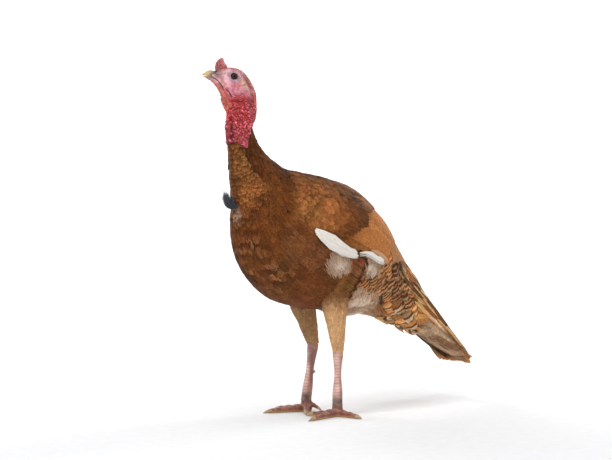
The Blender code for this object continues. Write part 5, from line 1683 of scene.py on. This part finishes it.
def build_bill(material):
    """The two halves of the bill, the upper one longer and bent down at its tip."""
    rim = lambda degrees: body_point(np.full(len(degrees), float(LAST)), np.radians(degrees))
    middle = rim(np.arange(0, 360)).mean(0)
    tip = head_point(*BILL_TIP)
    forward = unit(tip - middle)
    slit_up = math.cos(math.radians(MOUTH_ANGLE)) * 0.0115
    halves = [
        # name, first and last angle, blunt, reach, bow, half the gap, colour at the base, where it turns pale
        ("bill_upper", -MOUTH_ANGLE, MOUTH_ANGLE, 0.05, 1.0, 0.0028, BILL_GAP / 2,
         (0.250, 0.190, 0.140), 0.05, 0.40),
        ("bill_lower", MOUTH_ANGLE, 360 - MOUTH_ANGLE, 0.07, 0.87, 0.0016, -BILL_GAP / 2,
         (0.400, 0.270, 0.240), 0.30, 0.75),
    ]
    for name, first, last, blunt, reach, bow, shift, ground, dark_end, pale_start in halves:
        offset = rim(np.linspace(first, last, 56) % 360) - middle
        along = forward * (offset @ forward)[:, None]
        grid, steps = [], np.linspace(-0.10, 1, 40)
        for t in steps:
            share = max(t, 0)
            size = min(1.0, (1 - share ** 1.8) * (1 - 0.08 * share) + blunt)
            centre = middle + (tip - UP * (slit_up * 0.2) - middle) * t * reach
            centre = centre + UP * (bow * math.sin(math.pi * share))
            ring = centre + (offset - along * share) * size + UP * (slit_up * (1 - size) * 0.8)
            flat = ring[-1] + (ring[0] - ring[-1]) * np.linspace(0, 1, 18)[1:-1, None]
            grid.append(np.concatenate([ring, flat]) + UP * shift)
        grid = np.array(grid)
        pale = np.broadcast_to(ramp(steps, dark_end, pale_start)[:, None], grid.shape[:2])
        closed_piece("horn_" + name, grid, material, mix(ground, (0.600, 0.400, 0.175), pale), name)


def build_snood(skin):
    """The snood, a short wrinkled cone of flesh on the forehead."""
    base, tip = head_point(*SNOOD_BASE), head_point(*SNOOD_TIP)
    reach = [-0.12, 0, 0.3, 0.5, 0.75, 0.92, 1.0]
    front = [0.0165, 0.0155, 0.0165, 0.0160, 0.0105, 0.0050, 0.0020]
    rear = [0.0170, 0.0150, 0.0120, 0.0095, 0.0058, 0.0036, 0.0015]
    forward = unit(head_point(-0.30, 0.86) - head_point(-0.25, 0.86))
    path, radii = [], []
    for t in np.linspace(reach[0], 1, 30):
        ahead, back = np.interp(t, reach, front), np.interp(t, reach, rear)
        path.append(base + (tip - base) * t + forward * (ahead - back) / 2)
        radii.append((0.0072 * (1 - max(t, 0) ** 1.8) + 0.0012, (ahead + back) / 2))
    rng = np.random.default_rng(72)
    limb = Limb(path, radii, forward, 70)
    t, angle, point, out, lift, gap, _ = warts_on(limb, 110, 96, rng, 420, 0.0013, 0.7)
    folds = np.sin(t * 40 + 1.5 * np.sin(angle * 2 + 1) + 0.9 * np.sin(angle * 5)) * fall(t, 0.9, 1.0)
    tint = washed(
        np.tile((0.540, 0.140, 0.140), (*t.shape, 1)),
        # A painted highlight on the warts' tops, and painted shade in the hollows between them.
        ((0.720, 0.350, 0.280), fall(gap, 0.1, 0.8) * 0.65),
        ((0.200, 0.045, 0.050), ramp(gap, 0.8, 1.0) * 0.6),
        ((0.200, 0.120, 0.095), fall(t, 0.10, 0.26) * 0.6),
    )
    grid = point + out * (lift * 0.7 + folds * 0.0004)[..., None]
    places = np.stack([0.3 + 0.1 * t, 0.3 + 0.01 * angle], -1)
    closed_piece("flesh_snood", grid, skin, tint, "snood", places)


def build_wattle(skin):
    """The dewlap, a wavy fold of red skin down the front of the bare neck."""
    rng = np.random.default_rng(71)
    path, radii = [], []
    for t in np.linspace(0, 1, 26):
        point, _, across, out = body_frame(WATTLE_TOP - WATTLE_STATIONS * t, math.pi)
        lobe = bell(t, 0.86, 0.17)
        drop = UP * (0.0060 * ramp(t, 0.7, 1.0))
        path.append(point + across * 0.0012 * math.sin(t * 17) + out * (0.0045 * lobe - 0.001) - drop)
        radii.append((0.0030 + 0.0026 * lobe, 0.0040 + 0.0018 * t + 0.0058 * lobe))
    limb = Limb(path, radii, np.array([0, -1.0, 0]), 80)
    t, angle, point, out, lift, gap, nearest = warts_on(limb, 150, 64, rng, 170, 0.0026, 0.8)
    tint = washed(
        bare_colour(WATTLE_TOP - WATTLE_STATIONS * t, 180 + 0 * t),
        ((0.800, 0.170, 0.180), ramp(t, 0.55, 0.75) * 0.8), ((0.460, 0.100, 0.160), ramp(t, 0.86, 1.0) * 0.7),
    )
    tint = tint * np.exp(rng.normal(0, 0.30, 170))[nearest][..., None] ** (0.5, 1.2, 1.2)
    # Painted shade in the hollows between the warts, and a painted highlight on their tops.
    tint = toned(tint, (0.36, 0.12, 0.16), ramp(gap, 0.65, 0.95) * 0.85)
    tint = washed(tint, (tint * (1.15, 1.5, 1.5) + 0.02, fall(gap, 0.10, 0.6) * 0.7))
    places = np.stack([0.5 + 0.1 * t, 0.5 + 0.01 * angle], -1)
    closed_piece("flesh_wattle", point + out * lift[..., None], skin, tint, "wattle", places)


def build_beard():
    """The beard: coarse bristles that leave the breast together and curl forward and up."""
    material = hair_material()
    rng = np.random.default_rng(81)
    root = body_point(10.32, math.pi)
    count, rows, sides = 420, 14, 3
    points, colours = [], []
    for _ in range(count):
        spread, layer = rng.uniform(-1, 1), rng.uniform(-1, 1)
        reach = rng.uniform(0.55, 1.12) * (1 - 0.12 * abs(spread))
        wander = rng.normal(0, 0.0024, 3) + UP * (0.0062 * rng.choice([-1, 1]))
        t = np.linspace(0, 1, rows)
        forward = -0.010 + 0.044 * np.sin(t * 1.45) * reach
        rise = (-0.010 * np.sin(math.pi * t * 0.9) + 0.030 * t ** 2.2) * reach
        rise = rise + 0.0040 * layer * (1 - 0.7 * t)
        line = root + np.stack([spread * (0.0085 - 0.0035 * t), -forward, rise], -1)
        line = line + wander * t[:, None] ** 1.5
        thick = 0.00055 * rng.uniform(0.8, 1.2) * (1 - t ** 3 * 0.85)
        limb = Limb(line, np.stack([thick, thick], -1), np.array([0.2, 0.3, 1.0]), rows)
        points.append(limb.shell(sides, rows).reshape(-1, 3))
        colours.append(np.tile(np.array((0.105, 0.118, 0.132)) * rng.uniform(0.35, 1.9), (rows * sides, 1)))
    faces = many(grid_faces(rows, sides, closed=True), count, rows * sides)
    places = (0.47, 0.5) + rng.uniform(0, 0.003, (count * rows * sides, 2))
    points, colours = np.concatenate(points), np.concatenate(colours)
    made = mesh_object("beard_bristles", points, faces, material, colours, places)
    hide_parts("beard")


# The studio

AZIMUTH = math.radians(53.0)
DISTANCE = 4.0
AIM = Vector((0.0, -0.1207, 0.466))
AHEAD = Vector((-math.sin(AZIMUTH), math.cos(AZIMUTH), 0))
RIGHT = Vector((math.cos(AZIMUTH), math.sin(AZIMUTH), 0))
CAMERA_HEIGHT = 0.611
SENSOR = 36.0
FOCAL_PIXELS = 1600.0
PICTURE_PIXELS = 612.0
LIGHTS = [
    # name, right, towards the camera, up, size, power
    ("key", -1.9, 2.6, 2.3, 1.3, 60), ("fill", 2.6, 2.2, 1.5, 2.2, 26),
    ("top", 0.2, 0.6, 3.0, 2.2, 24), ("back", -1.2, -2.0, 2.4, 2.0, 7),
]
SWEEP_START = 2.8  # from the bird's middle to where the floor starts to bend up
SWEEP_RADIUS = 2.0


def facing(place, target):
    """The turn of a camera or lamp that looks at the target."""
    return (target - place).to_track_quat("-Z", "Y").to_euler()


def lamp(name, place, target, size, power, shape="SQUARE"):
    """An area light."""
    made = bpy.data.objects.new(name, bpy.data.lights.new(name, "AREA"))
    bpy.context.scene.collection.objects.link(made)
    made.data.shape = shape
    made.data.size = size
    made.data.energy = power
    made.visible_camera = False
    made.location = place
    made.rotation_euler = facing(place, target)


def build_studio():
    """The camera of the photograph, soft lights and a pale sweep for a floor."""
    camera = bpy.data.objects.new("camera", bpy.data.cameras.new("camera"))
    bpy.context.scene.collection.objects.link(camera)
    place = AIM - AHEAD * DISTANCE
    place.z = CAMERA_HEIGHT
    camera.location = place
    camera.rotation_euler = facing(place, AIM)
    camera.data.sensor_width = SENSOR
    camera.data.sensor_fit = "HORIZONTAL"
    camera.data.lens = SENSOR * FOCAL_PIXELS / PICTURE_PIXELS
    camera.data.dof.use_dof = False
    bpy.context.scene.camera = camera
    bpy.context.scene.view_settings.view_transform = "Standard"
    for name, across, near, up, size, power in LIGHTS:
        lamp(name, AIM + RIGHT * across - AHEAD * near + Vector((0, 0, up)), AIM, size, power, "DISK")
    for name, across in (("backdrop_left", -2.6), ("backdrop_right", 2.6)):
        place = RIGHT * across + AHEAD * 2.2 + Vector((0, 0, 3.0))
        lamp(name, place, RIGHT * (across * 0.2) + AHEAD * 4.6 + Vector((0, 0, 1.1)), 1.5, 110)
    world = bpy.data.worlds.new("world")
    bpy.context.scene.world = world
    world.use_nodes = True
    background = world.node_tree.nodes["Background"]
    background.inputs[0].default_value = (0.95, 0.97, 1.0, 1)
    background.inputs[1].default_value = 0.42

    profile = [(-6.0, 0.0), (-1.5, 0.0), (SWEEP_START, 0.0)]
    for turn in np.arange(1, 17) * math.pi / 2 / 16:
        across, up = SWEEP_RADIUS * math.sin(turn), SWEEP_RADIUS - SWEEP_RADIUS * math.cos(turn)
        profile.append((SWEEP_START + across, up))
    profile.append((SWEEP_START + SWEEP_RADIUS, 6.0))
    edges = [RIGHT * across for across in (-10, 10)]
    points = [AHEAD * depth + edge + Vector((0, 0, up)) for depth, up in profile for edge in edges]
    mesh = bpy.data.meshes.new("floor")
    mesh.from_pydata(points, [], [[k, k + 1, k + 3, k + 2] for k in range(0, len(points) - 2, 2)])
    mesh.shade_smooth()
    floor = bpy.data.objects.new("floor", mesh)
    floor.data.materials.append(paper_material())
    bpy.context.scene.collection.objects.link(floor)


build_studio()
SKIN = skin_material("red_skin", roughness=0.34)
LEG_SKIN = skin_material("scaled_skin", roughness=0.50, bumps=520.0, relief=0.0005, skin=0.12, veined=0.35)
PLUMAGE = feather_material("plumage")
PALE_PLUMAGE = feather_material("pale_plumage", streak=0.16)
THIGH_PLUMAGE = feather_material("thigh_plumage", streak=0.55)
FLIGHT = feather_material("flight_feather", barbs=60.0, streak=0.62, roughness=0.5, relief=0.0002)
HORN = horn_material("claw_horn", 0.38)
build_skin(SKIN)
build_coat(PLUMAGE, FLIGHT)
for wing, wing_side in (("left", 1), ("right", -1)):
    build_wing(wing, wing_side, FLIGHT, PALE_PLUMAGE)
build_down(PALE_PLUMAGE)
build_tail(FLIGHT)
for leg_name, leg_plan in LEGS.items():
    build_leg(leg_name, leg_plan, LEG_SKIN, HORN, THIGH_PLUMAGE)
EYE_LOOK = eye_material()
for eye, eye_side in (("left", 1), ("right", -1)):
    build_eye(eye, eye_side, EYE_LOOK)
build_bill(horn_material("bill_horn", 0.36))
build_snood(SKIN)
build_wattle(SKIN)
build_beard()
